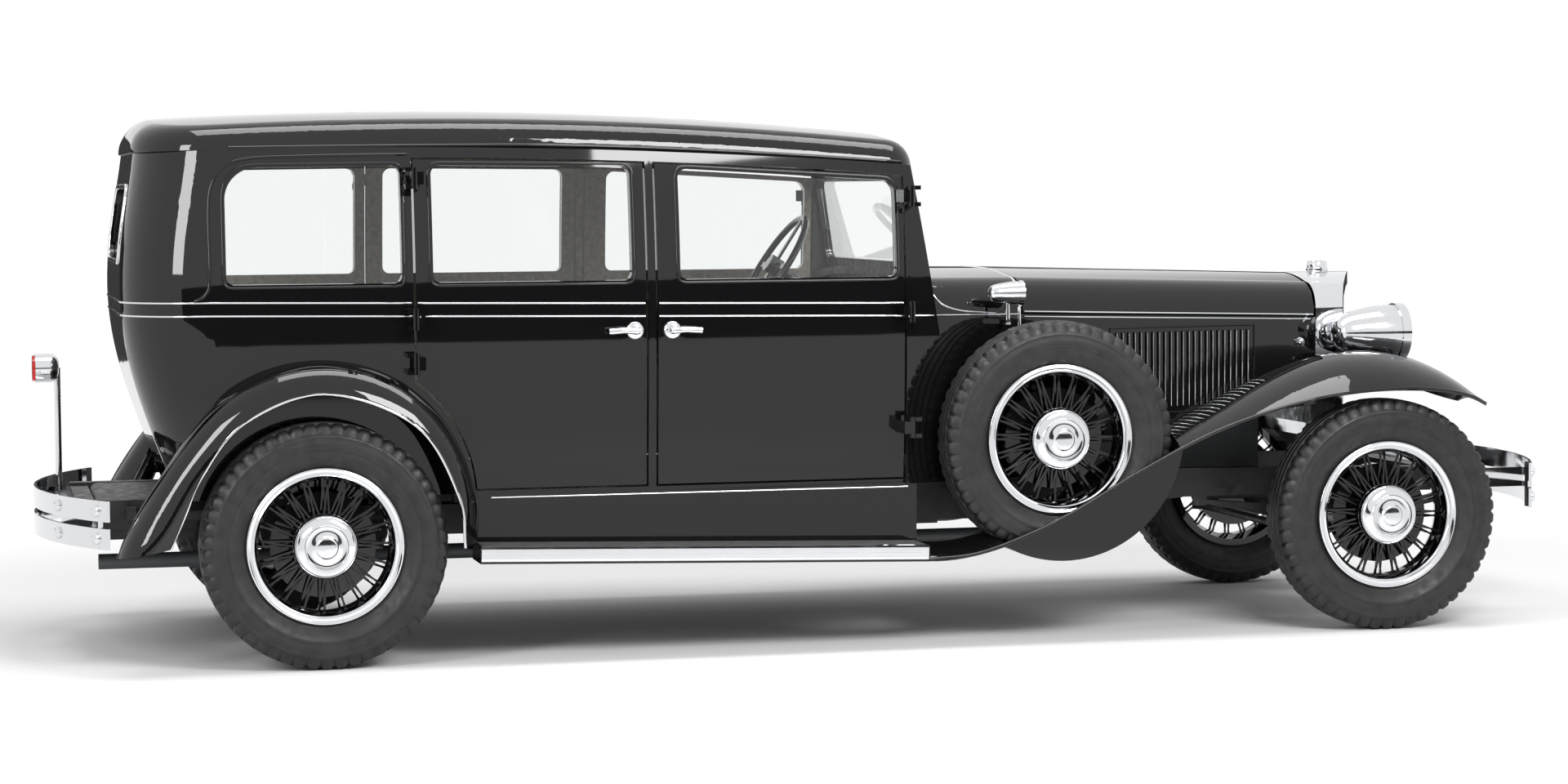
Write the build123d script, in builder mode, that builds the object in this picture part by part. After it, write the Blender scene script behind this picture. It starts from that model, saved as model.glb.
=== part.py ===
"""Closed seven-seat saloon car of about 1931, with wire wheels and a spare wheel in each front wing.

Millimetres. +X is forward, +Y is the car's left, +Z is up. The origin is on the ground below the middle
of the car's length. Stations along the car are measured forward from the rear axle.
"""

import os
from math import atan2, cos, degrees, hypot, radians, sin, sqrt

from build123d import *

os.makedirs("parts", exist_ok=True)

# Overall layout
wheelbase = 3683
track = 1490
overall_length = 5338
rear_overhang = 901
rear_axle_x = rear_overhang - overall_length / 2
front_axle_x = rear_axle_x + wheelbase
rear_bumper_x = -overall_length / 2
front_bumper_x = overall_length / 2
seat_gap = 0.4  # clearance between neighbouring pieces that only touch
far = 3000  # longer than any cut needs

# Wheels and tyres
tyre_radius = 402
tyre_half_width = 92
tread_half_width = 66
rim_radius = 254
bead_radius = 238
rim_half_width = 66
drum_radius = 172
drum_inner = 60
hub_radius = 60
hub_cap_radius = 106
hub_cap_face = 108
stub_radius = 22
stub_reach = 35
running_gap = 0.3
spoke_size = 6
spokes_per_row = 20
spoke_lean = 14
wheel_z = tyre_radius
wheel_y = track / 2
spare_x = rear_axle_x + 2491
spare_z = 692

# Steering
kingpin_y = 625
kingpin_radius = 16
eye_radius = 34
eye_half_height = 42
ear_thickness = 18
ear_gap = 4
arm_reach = 170
arm_pin_radius = 10
track_rod_radius = 14

# Body shell
wall_thickness = 46
sill_z = 545
belt_z = 1150
half_width_sill = 690
half_width_belt = 716
half_width_roof = 660
nose_taper = 26
corner_radius = 275
c_post_x = rear_axle_x + 309
b_post_x = rear_axle_x + 1102
a_post_x = rear_axle_x + 1985
b_post_width = 26
door_gap = 7
sill_strip = 14
cantrail_depth = 34
hinge_offset = 45
body_back = {sill_z: 452, 870: 566, belt_z: 622, 1420: 612, 1740: 566}
body_half = {sill_z: half_width_sill, 870: 709, belt_z: half_width_belt, 1420: 698, 1740: 650}
pane = 5
pane_depth = 20
window_sill_z = 1248
window_head_drop = 56

# Roof
drip_rear_z = 1676
drip_middle_z = 1688
drip_front_z = 1609
roof_sheet = 24
roof_peak_z = 1830
roof_rear_z = 1776
roof_front_z = 1706
hinge_strap = 30
hinge_leaf = 14
hinge_pin_radius = 5
hinge_knuckle = 14
hinge_sink = 36
handle_radius = 9
handle_stand = 34
roof_back = 580
roof_edge_radius = 92
roof_crown_radius = 4750
visor_x = rear_axle_x + 2044
visor_corner = 110

# Floor and inside
floor_sheet = 24
rear_floor_z = 670
rear_floor_x = rear_axle_x + 300
wheelhouse_radius = 446
wheelhouse_inner_y = 602
arch_x = rear_axle_x + 8
arch_z = 522
dogleg = 62

# Windscreen, scuttle and bonnet
screen_top_x = rear_axle_x + 2016
screen_foot_x = rear_axle_x + 2078
screen_foot_z = 1205
scuttle_x = rear_axle_x + 2430
scuttle_half = 560
scuttle_top_z = 1262
scuttle_sheet = 26
nose_x = rear_axle_x + 3612
nose_half = 322
nose_top_z = 1226
bonnet_sheet = 12
bonnet_gap = 7
shoulder_radius = 118
crown_rise = 26
side_hinge_z = 1112
side_hinge_front_z = 1076
bonnet_sill_z = 640
bonnet_sill_front_z = 760
hinge_strip_half = 10.7
barrel_radius = 4
barrel_drop = 2  # barrel's centre below the bonnet's ridge
side_seam = 5
louvre_count = 23
louvre_first = 372
louvre_pitch = 24
louvre_width = 9
louvre_depth = 6
louvre_low_z = 770
louvre_high_z = 1036

# Wings and running boards
wing_sheet = 8
wing_lip_y = 858
rear_wing_lip_y = 862
board_rear_x = rear_axle_x + 497
board_front_x = rear_axle_x + 2016
board_rear_z = 388
board_front_z = 349
board_thickness = 54
apron_sheet = 12


def save(piece, name):
    """Labels a finished piece and writes it to its own file."""
    piece.label = name
    export_step(piece, f"parts/{name}.step")


def save_both(piece, name):
    """Writes a piece of the car's right side and its mirror image on the left."""
    save(piece, f"{name}_right")
    save(mirror(piece, about=Plane.XZ), f"{name}_left")


def box_between(low, high):
    """A block from its lowest to its highest corner, added to the part being built."""
    middle = tuple((a + b) / 2 for a, b in zip(low, high))
    with Locations(middle):
        Box(*[b - a for a, b in zip(low, high)])


def body_outline(half, back, radius, front, taper):
    """Plan outline of the body: straight sides, round rear corners and a straight front edge."""
    diagonal = radius * (1 - cos(radians(45)))
    Polyline((front, -half + taper), (b_post_x, -half), (back + radius, -half))
    ThreePointArc((back + radius, -half), (back + diagonal, -half + diagonal), (back, -half + radius))
    Line((back, -half + radius), (back, half - radius))
    ThreePointArc((back, half - radius), (back + diagonal, half - diagonal), (back + radius, half))
    Polyline((back + radius, half), (b_post_x, half), (front, half - taper), (front, -half + taper))


def tub(grow, front):
    """Solid that fills the body out to its skin moved outwards by grow."""
    taper = nose_taper * (front - b_post_x) / (a_post_x - b_post_x)
    with BuildPart() as solid:
        for level, half in body_half.items():
            back = rear_axle_x - body_back[level] - grow
            with BuildSketch(Plane.XY.offset(level)):
                with BuildLine():
                    body_outline(half + grow, back, corner_radius + grow, front, taper)
                make_face()
        loft()
    return solid.part


def under_roof_line(drop):
    """Everything below the roof's drip line lowered by drop."""
    rear = (rear_axle_x - 700, drip_rear_z - drop)
    front = (rear_axle_x + 2200, drip_front_z - drop)
    with BuildPart() as solid:
        with BuildSketch(Plane.XZ):
            with BuildLine():
                ThreePointArc(rear, (rear_axle_x + 650, drip_middle_z - drop), front)
                Polyline(front, (far, front[1]), (far, 0), (-far, 0), (-far, rear[1]), rear)
            make_face()
        extrude(amount=far / 2, both=True)
    return solid.part


def side_prism(points, radii=(), inner=0, outer=far / 2):
    """Prism through the car's right side, from a side outline with rounded corners."""
    with BuildPart() as solid:
        with BuildSketch(Plane.XZ.offset(inner)) as outline:
            with BuildLine():
                Polyline(*points, close=True)
            make_face()
            for point, radius in zip(points, radii):
                corner = outline.vertices().sort_by_distance((point[0], point[1], 0))[0]
                fillet(corner, radius)
        extrude(amount=outer - inner)
    return solid.part


def side_box(rear, front, low, high, radius=0, inner=0):
    """Rectangular prism through the right side, with one radius on all its corners."""
    points = [(rear, low), (front, low), (front, high), (rear, high)]
    return side_prism(points, [radius] * 4 if radius else (), inner)


def both_sides(solid):
    """A right-hand solid together with its mirror image."""
    return [solid, mirror(solid, about=Plane.XZ)]


def drip_z(x):
    """Height of the drip line at a station, close to its arc."""
    middle = rear_axle_x + 650
    if x < middle:
        return drip_middle_z - (drip_middle_z - drip_rear_z) * ((middle - x) / 1350) ** 2
    return drip_middle_z - (drip_middle_z - drip_front_z) * ((x - middle) / 1550) ** 1.6


# Body shell, cut into its panels
outer_skin = tub(0, a_post_x + 140)
inner_skin = tub(-wall_thickness, a_post_x + 200)
pane_outer = tub(-pane_depth, a_post_x + 200)
pane_inner = tub(-pane_depth - pane, a_post_x + 200)
below_roof = under_roof_line(0)
below_cantrail = under_roof_line(cantrail_depth)
below_door_top = under_roof_line(cantrail_depth + door_gap)

with BuildPart() as body_wall:
    add(outer_skin)
    add(inner_skin, mode=Mode.SUBTRACT)
    add(below_roof, mode=Mode.INTERSECT)

with BuildPart() as pane_shell:
    add(pane_outer)
    add(pane_inner, mode=Mode.SUBTRACT)

b_rear_x = b_post_x - b_post_width / 2
b_front_x = b_post_x + b_post_width / 2
quarter_rear_x = rear_axle_x - 297
quarter_front_x = rear_axle_x + 272
rear_pane_rear_x = rear_axle_x + 374
rear_pane_front_x = rear_axle_x + 1036
front_pane_rear_x = rear_axle_x + 1200
front_pane_front_x = rear_axle_x + 1952


def window(rear, front, shrink, rear_radius, front_radius):
    """Side window prism: level sill, head that follows the roof line."""
    head_rear = drip_z(rear) - window_head_drop
    head_front = drip_z(front) - window_head_drop
    points = [
        (rear + shrink, window_sill_z + shrink),
        (front - shrink, window_sill_z + shrink),
        (front - shrink, head_front - shrink),
        (rear + shrink, head_rear - shrink),
    ]
    return side_prism(points, [26, 26, front_radius, rear_radius], inner=400)


windows = {
    "quarter": (quarter_rear_x, quarter_front_x, 105, 30),
    "rear": (rear_pane_rear_x, rear_pane_front_x, 30, 30),
    "front": (front_pane_rear_x, front_pane_front_x, 30, 44),
}


def window_cut(name, shrink=0):
    """The window of that name, grown smaller by shrink."""
    rear, front, rear_radius, front_radius = windows[name]
    return window(rear, front, shrink, rear_radius, front_radius)


def side_pane(name):
    """Glass of one side window, clear of its frame by the seat gap."""
    opening = window_cut(name, seat_gap)
    with BuildPart() as glass:
        add(pane_shell.part)
        add(opening, mode=Mode.INTERSECT)
    return glass.part


with BuildPart() as arch:
    with BuildSketch(Plane.XZ.offset(wheelhouse_inner_y)):
        with Locations((arch_x, arch_z)):
            Circle(wheelhouse_radius)
    extrude(amount=far / 2)

with BuildPart() as door_arch:
    with BuildSketch(Plane.XZ.offset(wheelhouse_inner_y)):
        with Locations((arch_x, arch_z)):
            Circle(wheelhouse_radius + dogleg)
    extrude(amount=far / 2)

rear_door_space = side_box(c_post_x, b_rear_x, sill_z + sill_strip, far, inner=400)
front_door_space = side_box(b_front_x, a_post_x, sill_z + sill_strip, far, inner=400)
rear_door_block = side_box(c_post_x + door_gap, b_rear_x - door_gap, sill_z + sill_strip + door_gap, far, 0, 400)
front_door_block = side_box(b_front_x + door_gap, a_post_x - door_gap, sill_z + sill_strip + door_gap, far, 0, 400)

hinge_radius = 11
hinge_height = 70
hinge_y = half_width_belt + hinge_offset
front_hinge_levels = (740, 1130, 1520)
rear_hinge_levels = (985, 1130, 1590)
handle_z = 1081

quarter_opening = window_cut("quarter")
rear_opening = window_cut("rear")
front_opening = window_cut("front")


def skin_half(z):
    """Half width of the body's skin at a height, without the taper towards the front."""
    levels = sorted(body_half)
    for low, high in zip(levels, levels[1:]):
        if low <= z <= high:
            return body_half[low] + (body_half[high] - body_half[low]) * (z - low) / (high - low)
    return half_width_belt


def hinge_half(hinge_x, toward, level, half_height):
    """One half of a hinge without its barrel: a strap from the pin and a leaf into the panel's skin."""
    strap = sorted((hinge_x + toward * (hinge_pin_radius + 2), hinge_x + toward * hinge_strap))
    box_between(
        (strap[0], -hinge_y - hinge_radius + 4, level - half_height),
        (strap[1], -hinge_y + hinge_radius - 4, level + half_height),
    )
    leaf = sorted((hinge_x + toward * (hinge_strap - hinge_leaf), hinge_x + toward * hinge_strap))
    box_between(
        (leaf[0], -hinge_y, level - half_height),
        (leaf[1], -skin_half(level) + hinge_sink, level + half_height),
    )


def hinge_and_handle(hinge_x, toward_door, levels, pull_x, pull_reach):
    """Bored hinge barrels with their straps, and a lever handle, added to the door being built."""
    half_height = hinge_height / 2 - hinge_knuckle - running_gap
    for level in levels:
        with Locations((hinge_x, -hinge_y, level)):
            Cylinder(hinge_radius, 2 * half_height)
        hinge_half(hinge_x, toward_door, level, half_height)
        with Locations((hinge_x, -hinge_y, level)):
            Cylinder(hinge_pin_radius + running_gap, hinge_height, mode=Mode.SUBTRACT)
    with Locations((pull_x, -half_width_belt - handle_stand / 2 + 4, handle_z)):
        Cylinder(handle_radius, handle_stand + 8, rotation=(90, 0, 0))
    lever = sorted((pull_x - pull_reach / 10, pull_x + pull_reach))
    box_between(
        (lever[0], -half_width_belt - handle_stand - 6, handle_z - handle_radius + 1),
        (lever[1], -half_width_belt - handle_stand + 6, handle_z + handle_radius - 1),
    )


def hinge_seats(hinge_x, toward_body, levels):
    """The fixed halves of one right-hand door's hinges: pins held in knuckles above and below each barrel."""
    with BuildPart() as seats:
        for level in levels:
            with Locations((hinge_x, -hinge_y, level)):
                Cylinder(hinge_pin_radius, hinge_height)
            for side in (-1, 1):
                middle = level + side * (hinge_height - hinge_knuckle) / 2
                with Locations((hinge_x, -hinge_y, middle)):
                    Cylinder(hinge_radius, hinge_knuckle)
                hinge_half(hinge_x, toward_body, middle, hinge_knuckle / 2)
    return seats.part


with BuildPart() as door_rear:
    add(body_wall.part)
    add(rear_door_block, mode=Mode.INTERSECT)
    add(below_door_top, mode=Mode.INTERSECT)
    add(rear_opening, mode=Mode.SUBTRACT)
    add(door_arch.part, mode=Mode.SUBTRACT)
    hinge_and_handle(c_post_x, 1, rear_hinge_levels, rear_axle_x + 1042, -88)
save_both(door_rear.part, "door_rear")
save_both(side_pane("rear"), "door_glass_rear")

with BuildPart() as door_front:
    add(body_wall.part)
    add(front_door_block, mode=Mode.INTERSECT)
    add(below_door_top, mode=Mode.INTERSECT)
    add(front_opening, mode=Mode.SUBTRACT)
    hinge_and_handle(a_post_x, -1, front_hinge_levels, rear_axle_x + 1169, 88)
save_both(door_front.part, "door_front")
save_both(side_pane("front"), "door_glass_front")

with BuildPart() as jamb_arch:
    with BuildSketch(Plane.XZ.offset(wheelhouse_inner_y)):
        with Locations((arch_x, arch_z)):
            Circle(wheelhouse_radius + dogleg - door_gap)
    extrude(amount=far / 2)

with BuildPart() as door_spaces:
    add(rear_door_space)
    add(jamb_arch.part, mode=Mode.SUBTRACT)
    add(front_door_space)
    add(below_cantrail, mode=Mode.INTERSECT)

with BuildPart() as side_frame:
    add(body_wall.part)
    add(side_box(c_post_x, a_post_x, 0, far, inner=400), mode=Mode.INTERSECT)
    add(door_spaces.part, mode=Mode.SUBTRACT)
    add(arch.part, mode=Mode.SUBTRACT)
save_both(side_frame.part, "side_frame")

# Rear body with its windows and wheel houses
back_window_half = 330
back_window_low = 1330
back_window_high = 1560
with BuildPart() as back_opening:
    with BuildSketch(Plane.YZ.offset(rear_axle_x - 800)):
        with Locations((0, (back_window_low + back_window_high) / 2)):
            RectangleRounded(2 * back_window_half, back_window_high - back_window_low, 50)
    extrude(amount=500)

with BuildPart() as back_pane_block:
    with BuildSketch(Plane.YZ.offset(rear_axle_x - 800)):
        with Locations((0, (back_window_low + back_window_high) / 2)):
            RectangleRounded(
                2 * (back_window_half - seat_gap),
                back_window_high - back_window_low - 2 * seat_gap,
                50 - seat_gap,
            )
    extrude(amount=500)


def wheelhouse_block(front, outer_y):
    """Curved box over the right rear wheel, from the body's floor line up."""
    with BuildPart() as block:
        with BuildSketch(Plane.XZ.offset(wheelhouse_inner_y)):
            with Locations((arch_x, arch_z)):
                Circle(wheelhouse_radius + floor_sheet)
        extrude(amount=outer_y - wheelhouse_inner_y)
        with BuildSketch(Plane.XZ.offset(wheelhouse_inner_y + floor_sheet)):
            with Locations((arch_x, arch_z)):
                Circle(wheelhouse_radius)
        extrude(amount=far / 4, mode=Mode.SUBTRACT)
        split(bisect_by=Plane.XY.offset(sill_z), keep=Keep.TOP)
        split(bisect_by=Plane.YZ.offset(front), keep=Keep.BOTTOM)
    return block.part


with BuildPart() as wheelhouse_right:
    add(wheelhouse_block(far, half_width_sill - wall_thickness - 4))
    add(wheelhouse_block(c_post_x - 2, half_width_sill - wall_thickness / 2))

with BuildPart() as rear_body:
    add(body_wall.part)
    split(bisect_by=Plane.YZ.offset(c_post_x), keep=Keep.BOTTOM)
    add(both_sides(quarter_opening), mode=Mode.SUBTRACT)
    add(back_opening.part, mode=Mode.SUBTRACT)
    add(both_sides(arch.part), mode=Mode.SUBTRACT)
    add(both_sides(wheelhouse_right.part))
    add(both_sides(hinge_seats(c_post_x, -1, rear_hinge_levels)))
save(rear_body.part, "rear_body")

# Windscreen frame, posts and scuttle
screen_rise = drip_front_z - screen_foot_z
screen_slope = (screen_foot_x - screen_top_x) / screen_rise


def nose_section(x, half, top, bottom, inset):
    """Upright outline of the scuttle or bonnet at one station: straight sides, round shoulders, crowned top."""
    side = half - inset
    radius = shoulder_radius - inset
    diagonal = radius * (1 - cos(radians(45)))
    shoulder = top - inset - crown_rise
    with BuildSketch(Plane.YZ.offset(x)) as section:
        with BuildLine():
            Line((-side, bottom), (-side, shoulder - radius))
            ThreePointArc(
                (-side, shoulder - radius),
                (-side + diagonal, shoulder - diagonal),
                (-side + radius, shoulder),
            )
            ThreePointArc((-side + radius, shoulder), (0, top - inset), (side - radius, shoulder))
            ThreePointArc(
                (side - radius, shoulder),
                (side - diagonal, shoulder - diagonal),
                (side, shoulder - radius),
            )
            Polyline((side, shoulder - radius), (side, bottom), (-side, bottom))
        make_face()
    return section.sketch.face()


scuttle_rear_half = half_width_belt - nose_taper
with BuildPart() as scuttle_void:
    loft(
        [
            nose_section(a_post_x - 1, scuttle_rear_half, scuttle_top_z + 6, sill_z - 1, scuttle_sheet),
            nose_section(scuttle_x - scuttle_sheet, scuttle_half, scuttle_top_z, sill_z - 1, scuttle_sheet),
        ]
    )

with BuildPart() as screen_slab:
    with BuildSketch(Plane.XZ):
        with BuildLine():
            Polyline(
                (screen_foot_x + screen_slope * 60, screen_foot_z - 60),
                (screen_top_x - screen_slope * 200, drip_front_z + 200),
                (screen_top_x - screen_slope * 200 - 34, drip_front_z + 200),
                (screen_foot_x + screen_slope * 60 - 34, screen_foot_z - 60),
                close=True,
            )
        make_face()
    extrude(amount=far / 2, both=True)
    add(outer_skin, mode=Mode.INTERSECT)
    add(below_roof, mode=Mode.INTERSECT)
    split(bisect_by=Plane.YZ.offset(a_post_x), keep=Keep.TOP)

screen_low_z = 1292
screen_high_z = 1572
screen_half_low = 606
screen_half_high = 588
with BuildPart() as screen_opening:
    with BuildSketch(Plane.YZ.offset(a_post_x - 100)) as opening:
        with BuildLine():
            Polyline(
                (-screen_half_low, screen_low_z),
                (screen_half_low, screen_low_z),
                (screen_half_high, screen_high_z),
                (-screen_half_high, screen_high_z),
                close=True,
            )
        make_face()
        fillet(opening.vertices(), 30)
    extrude(amount=400)

with BuildPart() as screen_pane_block:
    with BuildSketch(Plane.YZ.offset(a_post_x - 100)) as opening:
        with BuildLine():
            Polyline(
                (-screen_half_low, screen_low_z),
                (screen_half_low, screen_low_z),
                (screen_half_high, screen_high_z),
                (-screen_half_high, screen_high_z),
                close=True,
            )
        make_face()
        fillet(opening.vertices(), 30)
        offset(amount=-seat_gap)
    extrude(amount=400)

with BuildPart() as screen_post:
    add(body_wall.part)
    add(
        side_prism(
            [
                (a_post_x, screen_foot_z - 160),
                (screen_foot_x + screen_slope * 160, screen_foot_z - 160),
                (screen_top_x - screen_slope * 200, drip_front_z + 200),
                (a_post_x, drip_front_z + 200),
            ],
            inner=400,
        ),
        mode=Mode.INTERSECT,
    )

with BuildPart() as scuttle:
    loft(
        [
            nose_section(a_post_x, scuttle_rear_half, scuttle_top_z + 6, sill_z, 0),
            nose_section(scuttle_x, scuttle_half, scuttle_top_z, sill_z, 0),
        ]
    )
    add(scuttle_void.part, mode=Mode.SUBTRACT)
    add(both_sides(screen_post.part))
    add(screen_slab.part)
    add(screen_opening.part, mode=Mode.SUBTRACT)
    add(both_sides(hinge_seats(a_post_x, 1, front_hinge_levels)))
save(scuttle.part, "scuttle")

with BuildPart() as screen_pane:
    with BuildSketch(Plane.XZ):
        with BuildLine():
            Polyline(
                (screen_foot_x - 12, screen_foot_z),
                (screen_top_x - 12, drip_front_z),
                (screen_top_x - 12 - pane, drip_front_z),
                (screen_foot_x - 12 - pane, screen_foot_z),
                close=True,
            )
        make_face()
    extrude(amount=far / 2, both=True)
    add(screen_pane_block.part, mode=Mode.INTERSECT)

with BuildPart() as back_pane:
    add(pane_shell.part)
    add(back_pane_block.part, mode=Mode.INTERSECT)

quarter_pane = side_pane("quarter")
with BuildPart() as fixed_glass:
    add(both_sides(quarter_pane))
    add(back_pane.part)
    add(screen_pane.part)
save(fixed_glass.part, "fixed_glass")


def roof_block(inset):
    """The roof out to its skin moved inwards by inset: crowned top, round corners and rolled edge."""
    half = half_width_roof - inset
    back = rear_axle_x - roof_back + inset
    front = visor_x - inset
    low = drip_front_z - 100
    with BuildPart() as block:
        with BuildSketch(Plane.XY.offset(low)) as plan:
            with BuildLine():
                Polyline((back, -half), (front, -half + 34), (front, half - 34), (back, half), close=True)
            make_face()
            rear_corners = plan.vertices().group_by(Axis.X)[0]
            fillet(rear_corners, corner_radius - 20 - inset)
            front_corners = plan.vertices().group_by(Axis.X)[-1]
            fillet(front_corners, visor_corner - inset)
        extrude(amount=600)
        add(roof_cap(inset), mode=Mode.INTERSECT)
        rim = block.faces().sort_by(Axis.Z)[-1].outer_wire().edges()
        fillet(rim, roof_edge_radius - inset)
    return block.part


def roof_cap(inset):
    """Solid under the roof's crowned top, turned about a lengthwise axis far below."""
    turn = Axis((0, 0, roof_peak_z - roof_crown_radius), (1, 0, 0))
    with BuildPart() as cap:
        with BuildSketch(Plane.XZ):
            with BuildLine():
                rear = (rear_axle_x - 800, roof_rear_z - inset)
                front = (rear_axle_x + 2300, roof_front_z - inset)
                ThreePointArc(rear, (rear_axle_x + 600, roof_peak_z - 10 - inset), front)
                Polyline(front, (front[0], 1000), (rear[0], 1000), rear)
            make_face()
        revolve(axis=turn, revolution_arc=24)
    return cap.part.rotate(turn, -12)


with BuildPart() as roof:
    add(roof_block(0))
    add(roof_block(roof_sheet), mode=Mode.SUBTRACT)
    add(below_roof, mode=Mode.SUBTRACT)
save(roof.part, "roof")

# Bonnet: two hinged top panels, two fixed side panels and a centre strip
bonnet_rear_x = scuttle_x + bonnet_gap
bonnet_front_x = nose_x - bonnet_gap
barrel_y = hinge_strip_half + running_gap + barrel_radius


def nose_share(x):
    """How far a station lies from the scuttle seam to the radiator, from 0 to 1."""
    return (x - scuttle_x) / (nose_x - scuttle_x)


def bonnet_half(x):
    return scuttle_half + (nose_half - scuttle_half) * nose_share(x)


def bonnet_block(inset):
    """The bonnet filled out to its skin moved inwards by inset."""
    with BuildPart() as block:
        loft(
            [
                nose_section(scuttle_x, scuttle_half, scuttle_top_z, 300, inset),
                nose_section(nose_x, nose_half, nose_top_z, 300, inset),
            ]
        )
    return block.part


def bonnet_slice(points):
    """Prism across the whole bonnet from a side outline."""
    with BuildPart() as block:
        with BuildSketch(Plane.XZ):
            with BuildLine():
                Polyline(*points, close=True)
            make_face()
        extrude(amount=far / 2, both=True)
    return block.part


def louvre_place(number):
    """Place of one upright louvre on the bonnet's right side."""
    x = scuttle_x + louvre_first + number * louvre_pitch
    turn = degrees(atan2(scuttle_half - nose_half, nose_x - scuttle_x))
    return Location((x, -bonnet_half(x), (louvre_low_z + louvre_high_z) / 2), (0, 0, turn))


with BuildPart() as bonnet_shell:
    add(bonnet_block(0))
    add(bonnet_block(bonnet_sheet), mode=Mode.SUBTRACT)

with BuildPart() as bonnet_top:
    add(bonnet_shell.part)
    add(
        bonnet_slice(
            [
                (bonnet_rear_x, side_hinge_z + side_seam / 2),
                (bonnet_front_x, side_hinge_front_z + side_seam / 2),
                (bonnet_front_x, far),
                (bonnet_rear_x, far),
            ],
        ),
        mode=Mode.INTERSECT,
    )
    split(bisect_by=Plane.XZ.offset(barrel_y), keep=Keep.TOP)
    slope = Vector(nose_x - scuttle_x, 0, nose_top_z - scuttle_top_z)
    ridge_z = scuttle_top_z - barrel_drop + slope.Z * nose_share(bonnet_rear_x)
    with BuildSketch(Plane((bonnet_rear_x, -barrel_y, ridge_z), z_dir=slope)):
        Circle(barrel_radius)
    extrude(amount=bonnet_front_x - bonnet_rear_x)
save_both(bonnet_top.part, "bonnet_top")

with BuildPart() as bonnet_side:
    add(bonnet_shell.part)
    add(
        bonnet_slice(
            [
                (scuttle_x, bonnet_sill_z),
                (nose_x, bonnet_sill_front_z),
                (nose_x, side_hinge_front_z - side_seam / 2),
                (scuttle_x, side_hinge_z - side_seam / 2),
            ],
        ),
        mode=Mode.INTERSECT,
    )
    split(bisect_by=Plane.XZ, keep=Keep.TOP)
    with Locations(*[louvre_place(number) for number in range(louvre_count)]):
        Box(louvre_width, 2 * louvre_depth, louvre_high_z - louvre_low_z)
save_both(bonnet_side.part, "bonnet_side")

with BuildPart() as hinge_strip:
    with BuildSketch(Plane.XZ):
        with BuildLine():
            Polyline(
                (scuttle_x, scuttle_top_z),
                (nose_x, nose_top_z),
                (nose_x, nose_top_z - bonnet_sheet),
                (scuttle_x, scuttle_top_z - bonnet_sheet),
                close=True,
            )
        make_face()
    extrude(amount=hinge_strip_half, both=True)
save(hinge_strip.part, "bonnet_hinge")

# Radiator shell with a vee front, and its upright grille bars
shell_point_x = rear_axle_x + 3868
shell_side_x = rear_axle_x + 3716
shell_low_z = 640
shell_rim = 46
shell_crown = 30
bar_count = 26
bar_width = 6
cap_radius = 34
cap_height = 60
cap_setback = 120


def shell_outline(inset, low):
    """Front outline of the radiator shell moved inwards by inset."""
    half = nose_half + 2 - inset
    top = nose_top_z + 2 - inset
    radius = 96 - inset / 2
    shoulder = top - shell_crown
    diagonal = radius * (1 - cos(radians(45)))
    Line((-half, low), (-half, shoulder - radius))
    ThreePointArc(
        (-half, shoulder - radius),
        (-half + diagonal, shoulder - diagonal),
        (-half + radius, shoulder),
    )
    ThreePointArc((-half + radius, shoulder), (0, top), (half - radius, shoulder))
    ThreePointArc((half - radius, shoulder), (half - diagonal, shoulder - diagonal), (half, shoulder - radius))
    Polyline((half, shoulder - radius), (half, low), (-half, low))


def vee(setback):
    """Everything behind the vee front moved back by setback."""
    with BuildPart() as block:
        with BuildSketch(Plane.XY):
            with BuildLine():
                Polyline(
                    (0, -far / 2),
                    (shell_side_x - setback - 200, -far / 2),
                    (shell_side_x - setback, -nose_half),
                    (shell_point_x - setback, 0),
                    (shell_side_x - setback, nose_half),
                    (shell_side_x - setback - 200, far / 2),
                    (0, far / 2),
                    close=True,
                )
            make_face()
        extrude(amount=far / 2)
    return block.part


with BuildPart() as radiator_shell:
    with BuildSketch(Plane.YZ.offset(nose_x)):
        with BuildLine():
            shell_outline(0, shell_low_z)
        make_face()
    extrude(amount=400)
    add(vee(0), mode=Mode.INTERSECT)
    with BuildSketch(Plane.YZ.offset(nose_x - 10)):
        with BuildLine():
            shell_outline(shell_rim, shell_low_z + shell_rim)
        make_face()
    extrude(amount=500, mode=Mode.SUBTRACT)
    with BuildSketch(Plane.XY.offset(nose_top_z - 20)):
        with Locations((shell_point_x - cap_setback, 0)):
            Circle(cap_radius)
    extrude(amount=cap_height)
save(radiator_shell.part, "radiator_shell")

with BuildPart() as radiator_grille:
    with BuildSketch(Plane.YZ.offset(nose_x)):
        with BuildLine():
            shell_outline(shell_rim, shell_low_z + shell_rim)
        make_face()
    extrude(amount=60)
    with BuildSketch(Plane.YZ.offset(nose_x + 50)):
        with BuildLine():
            shell_outline(shell_rim, shell_low_z + shell_rim)
        make_face()
        with GridLocations((2 * nose_half - 2 * shell_rim) / bar_count, 1, bar_count, 1):
            Rectangle(2 * (nose_half - shell_rim) / bar_count - bar_width, far, mode=Mode.SUBTRACT)
    extrude(amount=400)
    add(vee(14), mode=Mode.INTERSECT)
save(radiator_grille.part, "radiator_grille")

# Front wings: a crowned sheet through upright sections, with a well for the spare wheel
front_wing_stations = (
    # station, inner edge z, crown z, lip z, crown y, lip y
    (2016, 343, 349, 300, 770, wing_lip_y),
    (2210, 352, 360, 322, 770, wing_lip_y),
    (2480, 446, 470, 424, 760, wing_lip_y),
    (2775, 596, 632, 585, 745, wing_lip_y),
    (3070, 724, 772, 722, 725, wing_lip_y),
    (3400, 838, 902, 812, 705, wing_lip_y),
    (3700, 880, 946, 840, 690, wing_lip_y),
    (3880, 850, 910, 830, 690, wing_lip_y - 6),
    (3990, 806, 850, 806, 700, wing_lip_y - 24),
    (4060, 782, 796, 778, 720, wing_lip_y - 66),
)
wing_gap = 16


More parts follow.
